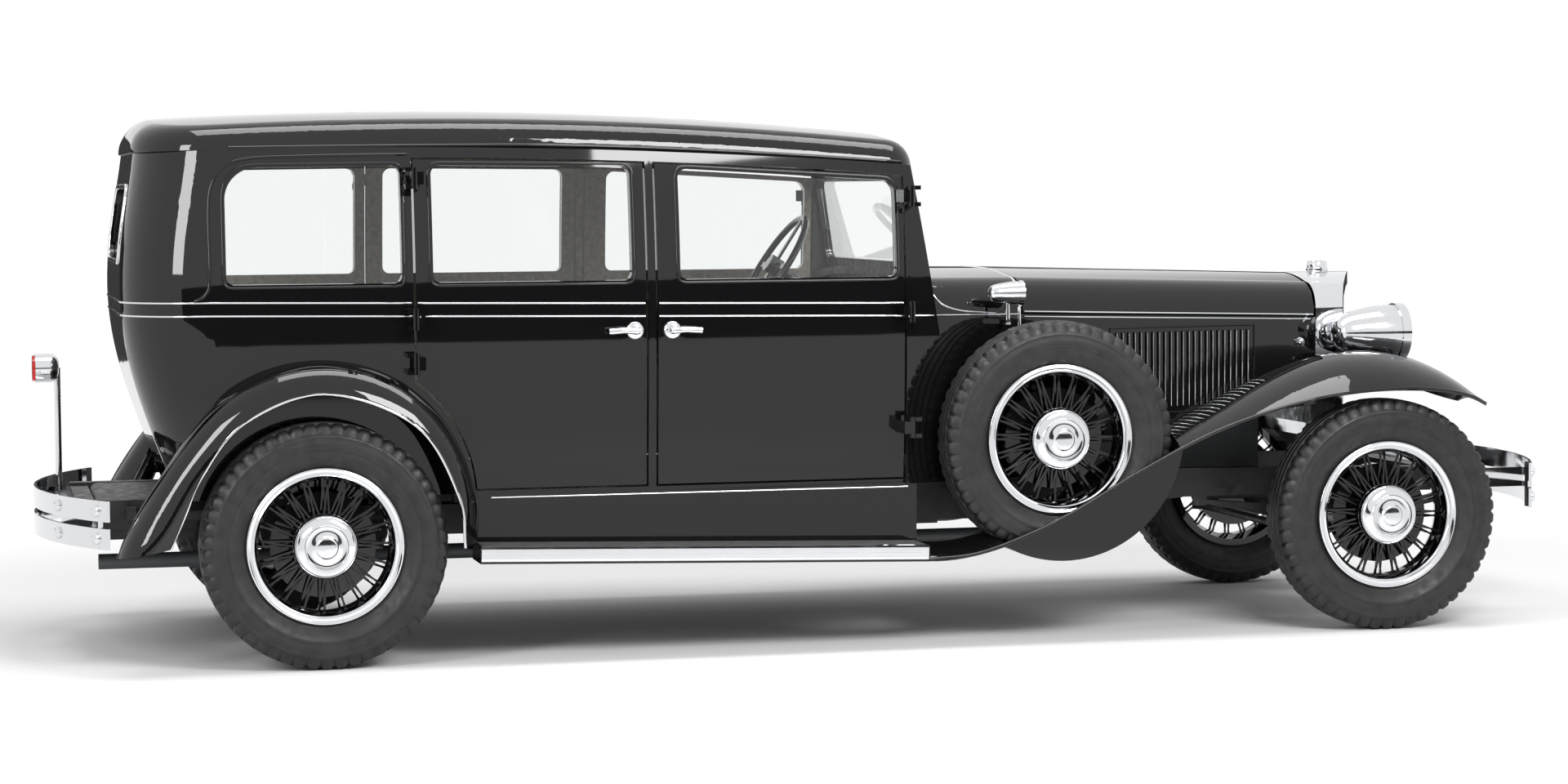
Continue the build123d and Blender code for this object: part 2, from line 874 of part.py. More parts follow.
def wing_inner_y(x):
    """Inner edge of the front wing, beside the scuttle and bonnet."""
    if x < scuttle_x:
        share = (x - a_post_x) / (scuttle_x - a_post_x)
        return scuttle_rear_half + (scuttle_half - scuttle_rear_half) * share + wing_gap
    return max(bonnet_half(x), nose_half) + wing_gap


def arc_centre(first, second, third):
    """Centre of the circle through three points."""
    (ax, ay), (bx, by), (cx, cy) = first, second, third
    twice = 2 * (ax * (by - cy) + bx * (cy - ay) + cx * (ay - by))
    a2, b2, c2 = ax * ax + ay * ay, bx * bx + by * by, cx * cx + cy * cy
    return (
        (a2 * (by - cy) + b2 * (cy - ay) + c2 * (ay - by)) / twice,
        (a2 * (cx - bx) + b2 * (ax - cx) + c2 * (bx - ax)) / twice,
    )


def wing_section(plane, inner, crown, lip):
    """Cross section of a wing: an arc over three points, thickened inwards by the sheet."""
    centre = arc_centre(inner, crown, lip)
    radius = hypot(crown[0] - centre[0], crown[1] - centre[1])
    share = (radius - wing_sheet) / radius
    under = [tuple(c + (p - c) * share for p, c in zip(point, centre)) for point in (lip, crown, inner)]
    with BuildSketch(plane) as section:
        with BuildLine():
            ThreePointArc(inner, crown, lip)
            Line(lip, under[0])
            ThreePointArc(*under)
            Line(under[2], inner)
        make_face()
    return section.sketch.face()


front_wing_outline = []
for station, inner_z, crown_z, lip_z, crown_y, lip_y in front_wing_stations:
    x = rear_axle_x + station
    inner_y = min(wing_inner_y(x) + max(0, station - 3880) * 1.2, crown_y - 40)
    front_wing_outline.append((x, ((-inner_y, inner_z), (-crown_y, crown_z), (-lip_y, lip_z))))
front_wing_sections = [wing_section(Plane.YZ.offset(x), *points) for x, points in front_wing_outline]

well_clearance = 16
well_half = tyre_half_width + 10
well_sheet = 8
well_z = spare_z + well_clearance - seat_gap


def under_wing_section(x, inner, crown, lip):
    """Everything below the wing's top at one station."""
    with BuildSketch(Plane.YZ.offset(x)) as section:
        with BuildLine():
            ThreePointArc(inner, crown, lip)
            Polyline(lip, (lip[0], 100), (inner[0], 100), inner)
        make_face()
    return section.sketch.face()


with BuildPart() as under_wing:
    loft([under_wing_section(x, *points) for x, points in front_wing_outline])


def well(radius, half):
    """Drum about the spare wheel's axis."""
    with BuildPart() as drum:
        with BuildSketch(Plane.XZ.offset(wheel_y - half)):
            with Locations((spare_x, well_z)):
                Circle(radius)
        extrude(amount=2 * half)
    return drum.part


well_radius = tyre_radius + well_clearance
with BuildPart() as well_pan:
    add(well(well_radius + well_sheet, well_half + well_sheet))
    add(under_wing.part, mode=Mode.INTERSECT)

with BuildPart() as front_wing:
    loft(front_wing_sections)
    add(well_pan.part)
    add(well(well_radius, well_half), mode=Mode.SUBTRACT)
save_both(front_wing.part, "front_wing")

# Rear wings: a crowned sheet through sections that turn about the wheel
rear_wing_stations = (
    # angle up from straight ahead, inner radius, crown radius, lip radius
    (-14, 494, 500, 462),
    (8, 480, 490, 432),
    (45, 482, 486, 412),
    (90, 486, 484, 400),
    (130, 484, 488, 404),
    (160, 486, 520, 420),
    (178, 530, 596, 452),
    (190, 600, 672, 506),
)
rear_wing_crown_y = 800
rear_wing_inner_y = 690

rear_wing_sections = []
for angle, inner_r, crown_r, lip_r in rear_wing_stations:
    radial = Plane(
        origin=(rear_axle_x, 0, 500),
        x_dir=(0, 1, 0),
        z_dir=(sin(radians(angle)), 0, -cos(radians(angle))),
    )
    rear_wing_sections.append(
        wing_section(
            radial,
            (-rear_wing_inner_y, inner_r),
            (-rear_wing_crown_y, crown_r),
            (-rear_wing_lip_y, lip_r),
        )
    )

body_clear = tub(seat_gap, a_post_x + 140)
with BuildPart() as rear_wing:
    loft(rear_wing_sections)
    add(body_clear, mode=Mode.SUBTRACT)
save_both(rear_wing.part, "rear_wing")

with BuildPart() as running_board:
    add(
        side_prism(
            [
                (board_rear_x, board_rear_z),
                (board_front_x, board_front_z),
                (board_front_x, board_front_z - board_thickness),
                (board_rear_x, board_rear_z - board_thickness),
            ],
            inner=half_width_sill - apron_sheet,
            outer=wing_lip_y,
        )
    )
    add(
        side_prism(
            [
                (board_rear_x, board_rear_z - board_thickness),
                (board_front_x, board_front_z - board_thickness),
                (board_front_x, sill_z),
                (board_rear_x, sill_z),
            ],
            inner=half_width_sill - apron_sheet,
            outer=half_width_sill,
        )
    )
save_both(running_board.part, "running_board")

# Chassis frame
rail_inner_y = 350
rail_outer_y = 410
rail_points = (
    (-770, 440),
    (-400, 440),
    (-280, 566),
    (150, 566),
    (300, 392),
    (2500, 392),
    (3080, 446),
    (4170, 446),
    (4170, 528),
    (3080, 548),
    (2500, sill_z - floor_sheet),
    (300, sill_z - floor_sheet),
    (150, rear_floor_z - floor_sheet),
    (-280, rear_floor_z - floor_sheet),
    (-400, 536),
    (-770, 536),
)
rail_bottom_z = 446
cross_members = (
    # station, half width along the car, bottom, top
    (-740, 30, 450, 526),
    (620, 40, 468, 510),
    (1250, 40, 468, 510),
    (1880, 40, 468, 510),
    (4080, 40, 460, 520),
)
jack_pad_stations = (760, 2120)
jack_pad_half = 50
jack_pad_depth = 12
jack_pad_z = rail_points[4][1] - jack_pad_depth

with BuildPart() as chassis_frame:
    outline = [(rear_axle_x + x, z) for x, z in rail_points]
    add(both_sides(side_prism(outline, inner=rail_inner_y, outer=rail_outer_y)))
    for station, half, low, high in cross_members:
        box_between(
            (rear_axle_x + station - half, -rail_inner_y, low),
            (rear_axle_x + station + half, rail_inner_y, high),
        )
    for station in jack_pad_stations:
        for side in (-1, 1):
            ends = sorted((side * rail_inner_y, side * rail_outer_y))
            box_between(
                (rear_axle_x + station - jack_pad_half, ends[0], jack_pad_z),
                (rear_axle_x + station + jack_pad_half, ends[1], jack_pad_z + jack_pad_depth),
            )
save(chassis_frame.part, "chassis_frame")

# Engine block on its bearers, gearbox and propeller shaft, exhaust, fuel tank
engine_rear_x = rear_axle_x + 2560
engine_front_x = rear_axle_x + 3440
engine_half = 200
head_half = 110
engine_deck_z = 820
engine_low_z = 430
engine_top_z = 1060
bearer_z = (480, 510)
with BuildPart() as engine_block:
    box_between((engine_rear_x, -engine_half, engine_low_z), (engine_front_x, engine_half, engine_deck_z))
    box_between((engine_rear_x + 40, -head_half, engine_deck_z), (engine_front_x - 40, head_half, engine_top_z))
    for x in (engine_rear_x + 90, engine_front_x - 90):
        box_between((x - 30, -rail_inner_y, bearer_z[0]), (x + 30, rail_inner_y, bearer_z[1]))
save(engine_block.part, "engine_block")

gearbox_rear_x = rear_axle_x + 2010
shaft_z = 425
shaft_radius = 34
gearbox_half = 115
gearbox_low_z = 396
pinion_x = rear_axle_x + 230
with BuildPart() as gearbox_and_shaft:
    box_between(
        (gearbox_rear_x, -gearbox_half, gearbox_low_z),
        (engine_rear_x, gearbox_half, sill_z - floor_sheet - 6),
    )
    with BuildSketch(Plane.YZ.offset(pinion_x)):
        with Locations((0, shaft_z)):
            Circle(shaft_radius)
    extrude(amount=gearbox_rear_x - pinion_x)
save(gearbox_and_shaft.part, "gearbox_and_shaft")

# Axles and springs
axle_radius = 46
casing_radius = 148
casing_width = 150
pinion_radius = 58
spring_half = 27
rear_spring_y = rail_outer_y + 8 + spring_half
spring_pad_z = wheel_z + axle_radius + 8
wheel_inner_y = wheel_y - drum_inner
with BuildPart() as rear_axle:
    with Locations((rear_axle_x, 0, wheel_z)):
        Cylinder(axle_radius, 2 * (wheel_inner_y - 8), rotation=(90, 0, 0))
        Cylinder(stub_radius, 2 * (wheel_y - stub_reach + 20), rotation=(90, 0, 0))
        Cylinder(casing_radius, casing_width, rotation=(90, 0, 0))
    with BuildSketch(Plane.YZ.offset(rear_axle_x)):
        with Locations((0, shaft_z)):
            Circle(pinion_radius)
    extrude(amount=pinion_x - rear_axle_x)
    for side in (-1, 1):
        with Locations((rear_axle_x, side * rear_spring_y, wheel_z + (axle_radius + 8) / 2)):
            Box(96, 2 * spring_half, axle_radius + 8)
save(rear_axle.part, "rear_axle")

beam_half = 26
beam_centre_z = 330
beam_depth = 56
front_spring_y = (rail_inner_y + rail_outer_y) / 2
front_pad_z = beam_centre_z + beam_depth / 2
with BuildPart() as front_axle:
    with BuildSketch(Plane.YZ.offset(front_axle_x)) as beam:
        with BuildLine():
            Polyline(
                (-kingpin_y, wheel_z - 30),
                (-kingpin_y + 60, wheel_z - 30),
                (-front_spring_y - 60, beam_centre_z - beam_depth / 2),
                (front_spring_y + 60, beam_centre_z - beam_depth / 2),
                (kingpin_y - 60, wheel_z - 30),
                (kingpin_y, wheel_z - 30),
                (kingpin_y, wheel_z + 30),
                (kingpin_y - 70, wheel_z + 30),
                (front_spring_y + 50, front_pad_z),
                (-front_spring_y - 50, front_pad_z),
                (-kingpin_y + 70, wheel_z + 30),
                (-kingpin_y, wheel_z + 30),
                close=True,
            )
        make_face()
    extrude(amount=beam_half, both=True)
    for side in (-1, 1):
        with Locations((front_axle_x, side * kingpin_y, wheel_z)):
            Cylinder(eye_radius, 2 * eye_half_height)
    for side in (-1, 1):
        with Locations((front_axle_x, side * kingpin_y, wheel_z)):
            Cylinder(kingpin_radius + running_gap, 4 * eye_half_height, mode=Mode.SUBTRACT)
save(front_axle.part, "front_axle")

front_spring_ends = (rear_axle_x + 3150, rear_axle_x + 4130)
rear_spring_ends = (rear_axle_x - 600, rear_axle_x + 590)
leaf_stack = 46
leaf_pad = 6
pad_half = 44
shackle_half = 16


def spring(y, middle_x, seat_z, ends, end_z, mount_low, mount_high, mount_inner):
    """A leaf spring bowed between two hangers, seated at its middle."""
    with BuildPart() as stack:
        with BuildSketch(Plane.XZ.offset(-y - spring_half)):
            with BuildLine():
                ThreePointArc((ends[0], end_z - 10), (middle_x, seat_z + leaf_pad), (ends[1], end_z - 10))
                Line((ends[1], end_z - 10), (ends[1], end_z + 4))
                ThreePointArc((ends[1], end_z + 4), (middle_x, seat_z + leaf_stack), (ends[0], end_z + 4))
                Line((ends[0], end_z + 4), (ends[0], end_z - 10))
            make_face()
        extrude(amount=2 * spring_half)
        box_between(
            (middle_x - pad_half, y - spring_half, seat_z),
            (middle_x + pad_half, y + spring_half, seat_z + leaf_stack / 2),
        )
        for x in ends:
            box_between(
                (x - shackle_half, y - spring_half, mount_low),
                (x + shackle_half, y + mount_inner, mount_high),
            )
    return stack.part


with BuildPart() as leaf_springs:
    front_spring = spring(
        -front_spring_y, front_axle_x, front_pad_z, front_spring_ends, rail_bottom_z - 14, rail_bottom_z - 34,
        rail_bottom_z, spring_half,
    )
    rear_spring = spring(
        -rear_spring_y, rear_axle_x, spring_pad_z, rear_spring_ends, spring_pad_z + 36, spring_pad_z + 16,
        spring_pad_z + 60, rear_spring_y - rail_outer_y,
    )
    add(both_sides(front_spring))
    add(both_sides(rear_spring))
save(leaf_springs.part, "leaf_springs")

# Exhaust and fuel tank
exhaust_y = -250
exhaust_z = 318
exhaust_tail_x = rear_axle_x - 700
exhaust_head_x = rear_axle_x + 2740
pipe_radius = 26
muffler_radius = 60
muffler_x = rear_axle_x + 1300
muffler_length = 620
manifold_z = (660, 710)
exhaust_hangers = (620, 1880)
with BuildPart() as exhaust:
    with BuildSketch(Plane.YZ.offset(exhaust_tail_x)):
        with Locations((exhaust_y, exhaust_z)):
            Circle(pipe_radius)
    extrude(amount=exhaust_head_x - exhaust_tail_x)
    with BuildSketch(Plane.YZ.offset(muffler_x)):
        with Locations((exhaust_y, exhaust_z)):
            Circle(muffler_radius)
    extrude(amount=muffler_length)
    with BuildSketch(Plane.XY.offset(exhaust_z)):
        with Locations((exhaust_head_x, exhaust_y)):
            Circle(pipe_radius)
    extrude(amount=manifold_z[1] - exhaust_z)
    box_between(
        (exhaust_head_x - pipe_radius, exhaust_y - pipe_radius, manifold_z[0]),
        (engine_front_x - 120, -engine_half, manifold_z[1]),
    )
    for station in exhaust_hangers:
        box_between(
            (rear_axle_x + station - 10, exhaust_y - 6, exhaust_z),
            (rear_axle_x + station + 10, exhaust_y + 6, cross_members[1][2]),
        )
save(exhaust.part, "exhaust")

tank_rear_x = rear_axle_x + cross_members[0][0] + cross_members[0][1]
tank_front_x = rear_axle_x - 380
tank_z = (400, 534)
with BuildPart() as fuel_tank:
    box_between((tank_rear_x, -rail_inner_y, tank_z[0]), (tank_front_x, rail_inner_y, tank_z[1]))
    fillet(fuel_tank.edges().filter_by(Axis.Y), 36)
save(fuel_tank.part, "fuel_tank")

# Floor with a step up over the rear axle, narrow beside the wheels and the spares
full_floor_x = (rear_axle_x + 440, a_post_x)
floor_inner_half = wheelhouse_inner_y - 1
floor_nose_half = 520
with BuildPart() as floor:
    box_between(
        (full_floor_x[0], -half_width_sill + apron_sheet, sill_z - floor_sheet),
        (full_floor_x[1], half_width_sill - apron_sheet, sill_z),
    )
    box_between(
        (rear_floor_x, -floor_inner_half, sill_z - floor_sheet),
        (full_floor_x[0], floor_inner_half, sill_z),
    )
    box_between(
        (full_floor_x[1], -floor_nose_half, sill_z - floor_sheet),
        (scuttle_x, floor_nose_half, sill_z),
    )
    box_between(
        (rear_floor_x, -floor_inner_half, sill_z),
        (rear_floor_x + floor_sheet, floor_inner_half, rear_floor_z),
    )
    box_between(
        (rear_axle_x - 320, -floor_inner_half, rear_floor_z - floor_sheet),
        (rear_floor_x + floor_sheet, floor_inner_half, rear_floor_z),
    )
save(floor.part, "floor")

# Wheels, made once on the car's right and copied
spoke_outer_y = -34
spoke_inner_y = 2
cap_back_y = -58


def turned(points):
    """Solid of revolution about the Y axis from an outline of (radius, y) points."""
    with BuildPart() as solid:
        with BuildSketch(Plane.XY):
            with BuildLine():
                Polyline(*points, close=True)
            make_face()
        revolve(axis=Axis.Y)
    return solid.part


def spoke_places(hub_y, rim_y, lean, turn):
    """Where one row of spokes lies: each from the hub to the rim, leaning forward or back."""
    places = []
    for number in range(spokes_per_row):
        foot = radians(turn + number * 360 / spokes_per_row)
        head = foot + radians(lean)
        start = Vector((hub_radius - 6) * cos(foot), hub_y, (hub_radius - 6) * sin(foot))
        end = Vector((spoke_rim_radius + 4) * cos(head), rim_y, (spoke_rim_radius + 4) * sin(head))
        places.append((Plane((start + end) / 2, z_dir=end - start).location, (end - start).length))
    return places


spoke_rim_radius = 214
with BuildPart() as wheel:
    add(
        turned(
            [
                (spoke_rim_radius, -20),
                (spoke_rim_radius + 16, -rim_half_width),
                (rim_radius, -rim_half_width),
                (rim_radius, -rim_half_width + 9),
                (bead_radius, -rim_half_width + 14),
                (bead_radius, rim_half_width - 14),
                (rim_radius, rim_half_width - 9),
                (rim_radius, rim_half_width),
                (spoke_rim_radius + 16, rim_half_width),
                (spoke_rim_radius, 20),
            ]
        )
    )
    add(
        turned(
            [
                (stub_radius + running_gap, drum_inner),
                (drum_radius, drum_inner),
                (drum_radius, drum_inner - 46),
                (hub_radius + 20, drum_inner - 52),
                (hub_radius, spoke_inner_y + 6),
                (hub_radius, spoke_outer_y - 8),
                (hub_radius - 14, cap_back_y + 8),
                (0, cap_back_y + 8),
                (0, stub_reach - drum_inner - 12),
                (stub_radius + running_gap, stub_reach - drum_inner - 12),
            ]
        )
    )
    with BuildSketch(Plane.XY):
        with BuildLine():
            Polyline((0, -hub_cap_face), (34, -hub_cap_face), (40, -hub_cap_face + 6))
            ThreePointArc((40, -hub_cap_face + 6), (84, -hub_cap_face + 20), (hub_cap_radius, cap_back_y))
            Polyline((hub_cap_radius, cap_back_y), (hub_cap_radius - 30, cap_back_y + 8), (0, cap_back_y + 8))
            Line((0, cap_back_y + 8), (0, -hub_cap_face))
        make_face()
    revolve(axis=Axis.Y)
    for hub_y, lean, turn in (
        (spoke_outer_y, spoke_lean, 0),
        (spoke_outer_y, -spoke_lean, 9),
        (spoke_inner_y, spoke_lean, 4.5),
        (spoke_inner_y, -spoke_lean, 13.5),
    ):
        places = spoke_places(hub_y, -hub_y / 4, lean, turn)
        with Locations(*[place for place, length in places]):
            Box(spoke_size, spoke_size, places[0][1])

with BuildPart() as tyre:
    with BuildSketch(Plane.XY):
        with BuildLine():
            inner = bead_radius + seat_gap
            toe = rim_half_width - 14 - seat_gap
            flange = rim_radius + 5
            Polyline((flange, -toe - 4), (inner, -toe), (inner, toe), (flange, toe + 4))
            ThreePointArc(
                (flange, toe + 4),
                (rim_radius + 66, tyre_half_width),
                (tyre_radius - 12, tread_half_width + 8),
            )
            Line((tyre_radius - 12, tread_half_width + 8), (tyre_radius - 4, tread_half_width))
            ThreePointArc((tyre_radius - 4, tread_half_width), (tyre_radius, 0), (tyre_radius - 4, -tread_half_width))
            Line((tyre_radius - 4, -tread_half_width), (tyre_radius - 12, -tread_half_width - 8))
            ThreePointArc(
                (tyre_radius - 12, -tread_half_width - 8),
                (rim_radius + 66, -tyre_half_width),
                (flange, -toe - 4),
            )
        make_face()
    revolve(axis=Axis.Y)


def placed(piece, x, z):
    """A wheel piece moved to its place on the car's right."""
    return piece.moved(Location((x, -wheel_y, z)))


for name, x in (("front", front_axle_x), ("rear", rear_axle_x)):
    save_both(placed(wheel.part, x, wheel_z), f"wheel_{name}")
    save_both(placed(tyre.part, x, wheel_z), f"tyre_{name}")

spare_wheel = placed(wheel.part, spare_x, spare_z)
spare_tyre = placed(tyre.part, spare_x, spare_z)
with BuildPart() as spare_wheels:
    add(both_sides(spare_wheel))
save(spare_wheels.part, "spare_wheels")
with BuildPart() as spare_tyres:
    add(both_sides(spare_tyre))
save(spare_tyres.part, "spare_tyres")

# Steering knuckles and track rod
ear_low = eye_half_height + ear_gap
ear_high = ear_low + ear_thickness
web_inner_y = kingpin_y + eye_radius + 2
web_outer_y = wheel_y - drum_inner - 6
with BuildPart() as knuckle:
    with Locations((front_axle_x, -kingpin_y, wheel_z)):
        Cylinder(kingpin_radius, 2 * ear_high)
    for side in (-1, 1):
        middle = wheel_z + side * (ear_low + ear_high) / 2
        with Locations((front_axle_x, -kingpin_y, middle)):
            Cylinder(eye_radius - 4, ear_thickness)
        box_between(
            (front_axle_x - 28, -web_outer_y, middle - ear_thickness / 2),
            (front_axle_x + 28, -kingpin_y, middle + ear_thickness / 2),
        )
    box_between(
        (front_axle_x - 28, -web_outer_y, wheel_z - ear_high),
        (front_axle_x + 28, -web_inner_y, wheel_z + ear_high),
    )
    with BuildSketch(Plane.XZ.offset(web_outer_y)):
        with Locations((front_axle_x, wheel_z)):
            Circle(stub_radius)
    extrude(amount=wheel_y + stub_reach - 15 - web_outer_y)
    box_between(
        (front_axle_x - arm_reach - 20, -kingpin_y - 16, wheel_z - ear_high),
        (front_axle_x, -kingpin_y + 16, wheel_z - ear_low),
    )
    with Locations((front_axle_x - arm_reach, -kingpin_y, wheel_z - ear_high - 16)):
        Cylinder(arm_pin_radius, 36)
save_both(knuckle.part, "knuckle")

track_rod_z = wheel_z - ear_high - 20
with BuildPart() as track_rod:
    with Locations((front_axle_x - arm_reach, 0, track_rod_z)):
        Cylinder(track_rod_radius, 2 * kingpin_y, rotation=(90, 0, 0))
    for side in (-1, 1):
        with Locations((front_axle_x - arm_reach, side * kingpin_y, track_rod_z)):
            Cylinder(arm_pin_radius + 12, 2 * track_rod_radius + 6)
    for side in (-1, 1):
        with Locations((front_axle_x - arm_reach, side * kingpin_y, track_rod_z)):
            Cylinder(arm_pin_radius + running_gap, 6 * track_rod_radius, mode=Mode.SUBTRACT)
save(track_rod.part, "track_rod")

# Bumpers: two bowed bars on arms from the frame
bumper_half = 720
bumper_thickness = 10
bar_height = 68
bar_levels = (402, 492)
front_bow = 170
rear_bow = 211
bumper_arm = 20
clamp_width = 26
bumper_arm_z = (452, 520)


def bowed_x(tip_x, direction, bow, y):
    """Station of a bumper bar's outer face at a distance from the middle."""
    radius = (bumper_half ** 2 + bow ** 2) / (2 * bow)
    return tip_x - direction * (radius - sqrt(radius ** 2 - y ** 2))


def bumper(tip_x, direction, bow, arm_x):
    """Both bars, the clamps at their ends and the arms that carry them."""
    end_x = tip_x - direction * bow
    back = direction * bumper_thickness
    with BuildPart() as bars:
        for level in bar_levels:
            with BuildSketch(Plane.XY.offset(level)):
                with BuildLine():
                    ThreePointArc((end_x, -bumper_half), (tip_x, 0), (end_x, bumper_half))
                    Line((end_x, bumper_half), (end_x - back, bumper_half))
                    ThreePointArc((end_x - back, bumper_half), (tip_x - back, 0), (end_x - back, -bumper_half))
                    Line((end_x - back, -bumper_half), (end_x, -bumper_half))
                make_face()
            extrude(amount=bar_height)
        for side in (-1, 1):
            y = side * (bumper_half - 2 * clamp_width)
            x = bowed_x(tip_x, direction, bow, y) - back
            ends = sorted((x + back / 2, x - back))
            box_between(
                (ends[0], y - clamp_width / 2, bar_levels[0]),
                (ends[1], y + clamp_width / 2, bar_levels[1] + bar_height),
            )
            sides = sorted((side * rail_outer_y, side * (rail_outer_y + bumper_arm)))
            reach = sorted((arm_x, bowed_x(tip_x, direction, bow, rail_outer_y + bumper_arm) - back / 2))
            box_between((reach[0], sides[0], bumper_arm_z[0]), (reach[1], sides[1], bumper_arm_z[1]))
    return bars.part


save(bumper(front_bumper_x, 1, front_bow, rear_axle_x + 4020), "front_bumper")
save(bumper(rear_bumper_x, -1, rear_bow, rear_axle_x - 690), "rear_bumper")

# Lamps
lamp_y = 408
lamp_z = 1018
lamp_tip_x = rear_axle_x + 3641
lamp_length = 262
lamp_radius = 98
side_lamp_y = 652
side_lamp_z = 1186
side_lamp_tip_x = rear_axle_x + 2283
side_lamp_length = 123
side_lamp_radius = 40
lens_depth = 14
lamp_post_radius = 17
lamp_post_length = 120
side_post_radius = 8
side_post_length = 70


def lamp_bowl(tip_x, y, z, length, radius):
    """Bullet-shaped lamp bowl with a rim, open at the front for its lens."""
    place = Plane(origin=(tip_x, y, z), x_dir=(1, 0, 0), z_dir=(0, -1, 0))
    rim = radius + radius / 16
    with BuildPart() as bowl:
        with BuildSketch(place):
            with BuildLine():
                Spline(
                    (0, 0),
                    (0.34 * length, 0.82 * radius),
                    (0.88 * length, radius),
                    tangents=((0, 1), (1, 0)),
                )
                Polyline((0.88 * length, radius), (0.88 * length, rim), (length, rim), (length, radius - 6))
                Line((length, radius - 6), (length - lens_depth, radius - 6))
                Line((length - lens_depth, radius - 6), (length - lens_depth, radius - 14))
                Spline(
                    (length - lens_depth, radius - 14),
                    (0.56 * length, 0),
                    tangents=((-1, -0.5), (0, -1)),
                )
                Line((0.56 * length, 0), (0, 0))
            make_face()
        revolve(axis=Axis((tip_x, y, z), (1, 0, 0)))
    return bowl.part


def lamp_lens(tip_x, y, z, length, radius):
    """Domed glass in the front of a lamp."""
    place = Plane(origin=(tip_x, y, z), x_dir=(1, 0, 0), z_dir=(0, -1, 0))
    edge = radius - 6 - seat_gap
    back = length - lens_depth + seat_gap
    with BuildPart() as lens:
        with BuildSketch(place):
            with BuildLine():
                Polyline((back, 0), (back, edge), (length - 4, edge))
                Spline((length - 4, edge), (length + 6, 0), tangents=((0.3, -1), (0, -1)))
                Line((length + 6, 0), (back, 0))
            make_face()
        revolve(axis=Axis((tip_x, y, z), (1, 0, 0)))
    return lens.part


with BuildPart() as headlamp:
    add(lamp_bowl(lamp_tip_x, -lamp_y, lamp_z, lamp_length, lamp_radius))
    with Locations((lamp_tip_x + lamp_length / 2, -lamp_y, lamp_z - lamp_post_length)):
        Cylinder(lamp_post_radius, lamp_post_length)
    add(under_wing.part.moved(Location((0, 0, seat_gap))), mode=Mode.SUBTRACT)
with BuildPart() as headlamps:
    add(both_sides(headlamp.part))
save(headlamps.part, "headlamps")

side_lamp_x = side_lamp_tip_x + 70
scuttle_side_y = scuttle_rear_half + (scuttle_half - scuttle_rear_half) * (side_lamp_x - side_post_radius - a_post_x) / (
    scuttle_x - a_post_x
)
with BuildPart() as side_lamp:
    add(lamp_bowl(side_lamp_tip_x, -side_lamp_y, side_lamp_z, side_lamp_length, side_lamp_radius))
    with Locations((side_lamp_x, -side_lamp_y, side_lamp_z - 66)):
        Cylinder(side_post_radius, side_post_length)
    box_between(
        (side_lamp_x - side_post_radius, -side_lamp_y - side_post_radius, side_lamp_z - 108),
        (side_lamp_x + side_post_radius, -scuttle_side_y - seat_gap, side_lamp_z - 92),
    )
with BuildPart() as side_lamps:
    add(both_sides(side_lamp.part))
save(side_lamps.part, "side_lamps")

tail_lamp_y = 396
tail_lamp_z = 938
tail_lamp_radius = 50
tail_lamp_depth = 80
tail_post_radius = 11
tail_foot_z = 480
tail_foot_half = 14
tail_lamp_x = rear_axle_x - 880
tail_post_x = rear_axle_x - 805
rail_rear_x = rear_axle_x - 770
with BuildPart() as tail_lamp:
    with BuildSketch(Plane.YZ.offset(tail_lamp_x)):
        with Locations((tail_lamp_y, tail_lamp_z)):
            Circle(tail_lamp_radius)
    extrude(amount=tail_lamp_depth)
    fillet(tail_lamp.edges().sort_by(Axis.X)[-1], 30)
    with Locations((tail_post_x, tail_lamp_y, (tail_lamp_z + tail_foot_z) / 2)):
        Cylinder(tail_post_radius, tail_lamp_z - tail_foot_z)
    box_between(
        (tail_post_x - tail_foot_half, tail_lamp_y - tail_foot_half, tail_foot_z),
        (rail_rear_x, tail_lamp_y + tail_foot_half, tail_foot_z + 2 * tail_foot_half),
    )
save(tail_lamp.part, "tail_lamp")

with BuildPart() as tail_lens:
    with BuildSketch(Plane.YZ.offset(tail_lamp_x - seat_gap)):
        with Locations((tail_lamp_y, tail_lamp_z)):
            Circle(tail_lamp_radius - 5)
    extrude(amount=-10)
head_lens = lamp_lens(lamp_tip_x, -lamp_y, lamp_z, lamp_length, lamp_radius)
side_lens = lamp_lens(side_lamp_tip_x, -side_lamp_y, side_lamp_z, side_lamp_length, side_lamp_radius)
with BuildPart() as lamp_lenses:
    add(both_sides(head_lens))
    add(both_sides(side_lens))
    add(tail_lens.part)
save(lamp_lenses.part, "lamp_lenses")

# Towing eye behind the rear cross member
eye_bore_radius = 14
eye_half_width = 38
eye_thickness = 20
eye_z = 490
eye_x = rail_rear_x - 50
with BuildPart() as tow_eye:
    box_between(
        (eye_x, -eye_half_width, eye_z - eye_thickness / 2),
        (rail_rear_x, eye_half_width, eye_z + eye_thickness / 2),
    )
    with Locations((eye_x, 0, eye_z)):
        Cylinder(eye_half_width, eye_thickness)
        Cylinder(eye_bore_radius, 3 * eye_thickness, mode=Mode.SUBTRACT)
save(tow_eye.part, "tow_eye")

# Steering wheel and column, dashboard and seats
helm_x = rear_axle_x + 1768
helm_y = 350
helm_z = 1266
helm_radius = 205
helm_grip = 12
helm_tilt = 33
column_radius = 22
boss_radius = 34
boss_depth = 50
helm_spokes = 4
helm_spoke = (22, 9)
helm_axis = Vector(-cos(radians(helm_tilt)), 0, sin(radians(helm_tilt)))
helm_plane = Plane(origin=(helm_x, helm_y, helm_z), x_dir=(0, 1, 0), z_dir=helm_axis)
with BuildPart(helm_plane) as steering_wheel:
    Torus(helm_radius, helm_grip)
    Cylinder(boss_radius, boss_depth)
    with PolarLocations(helm_radius / 2, helm_spokes):
        Box(helm_radius, *helm_spoke)
save(steering_wheel.part, "steering_wheel")

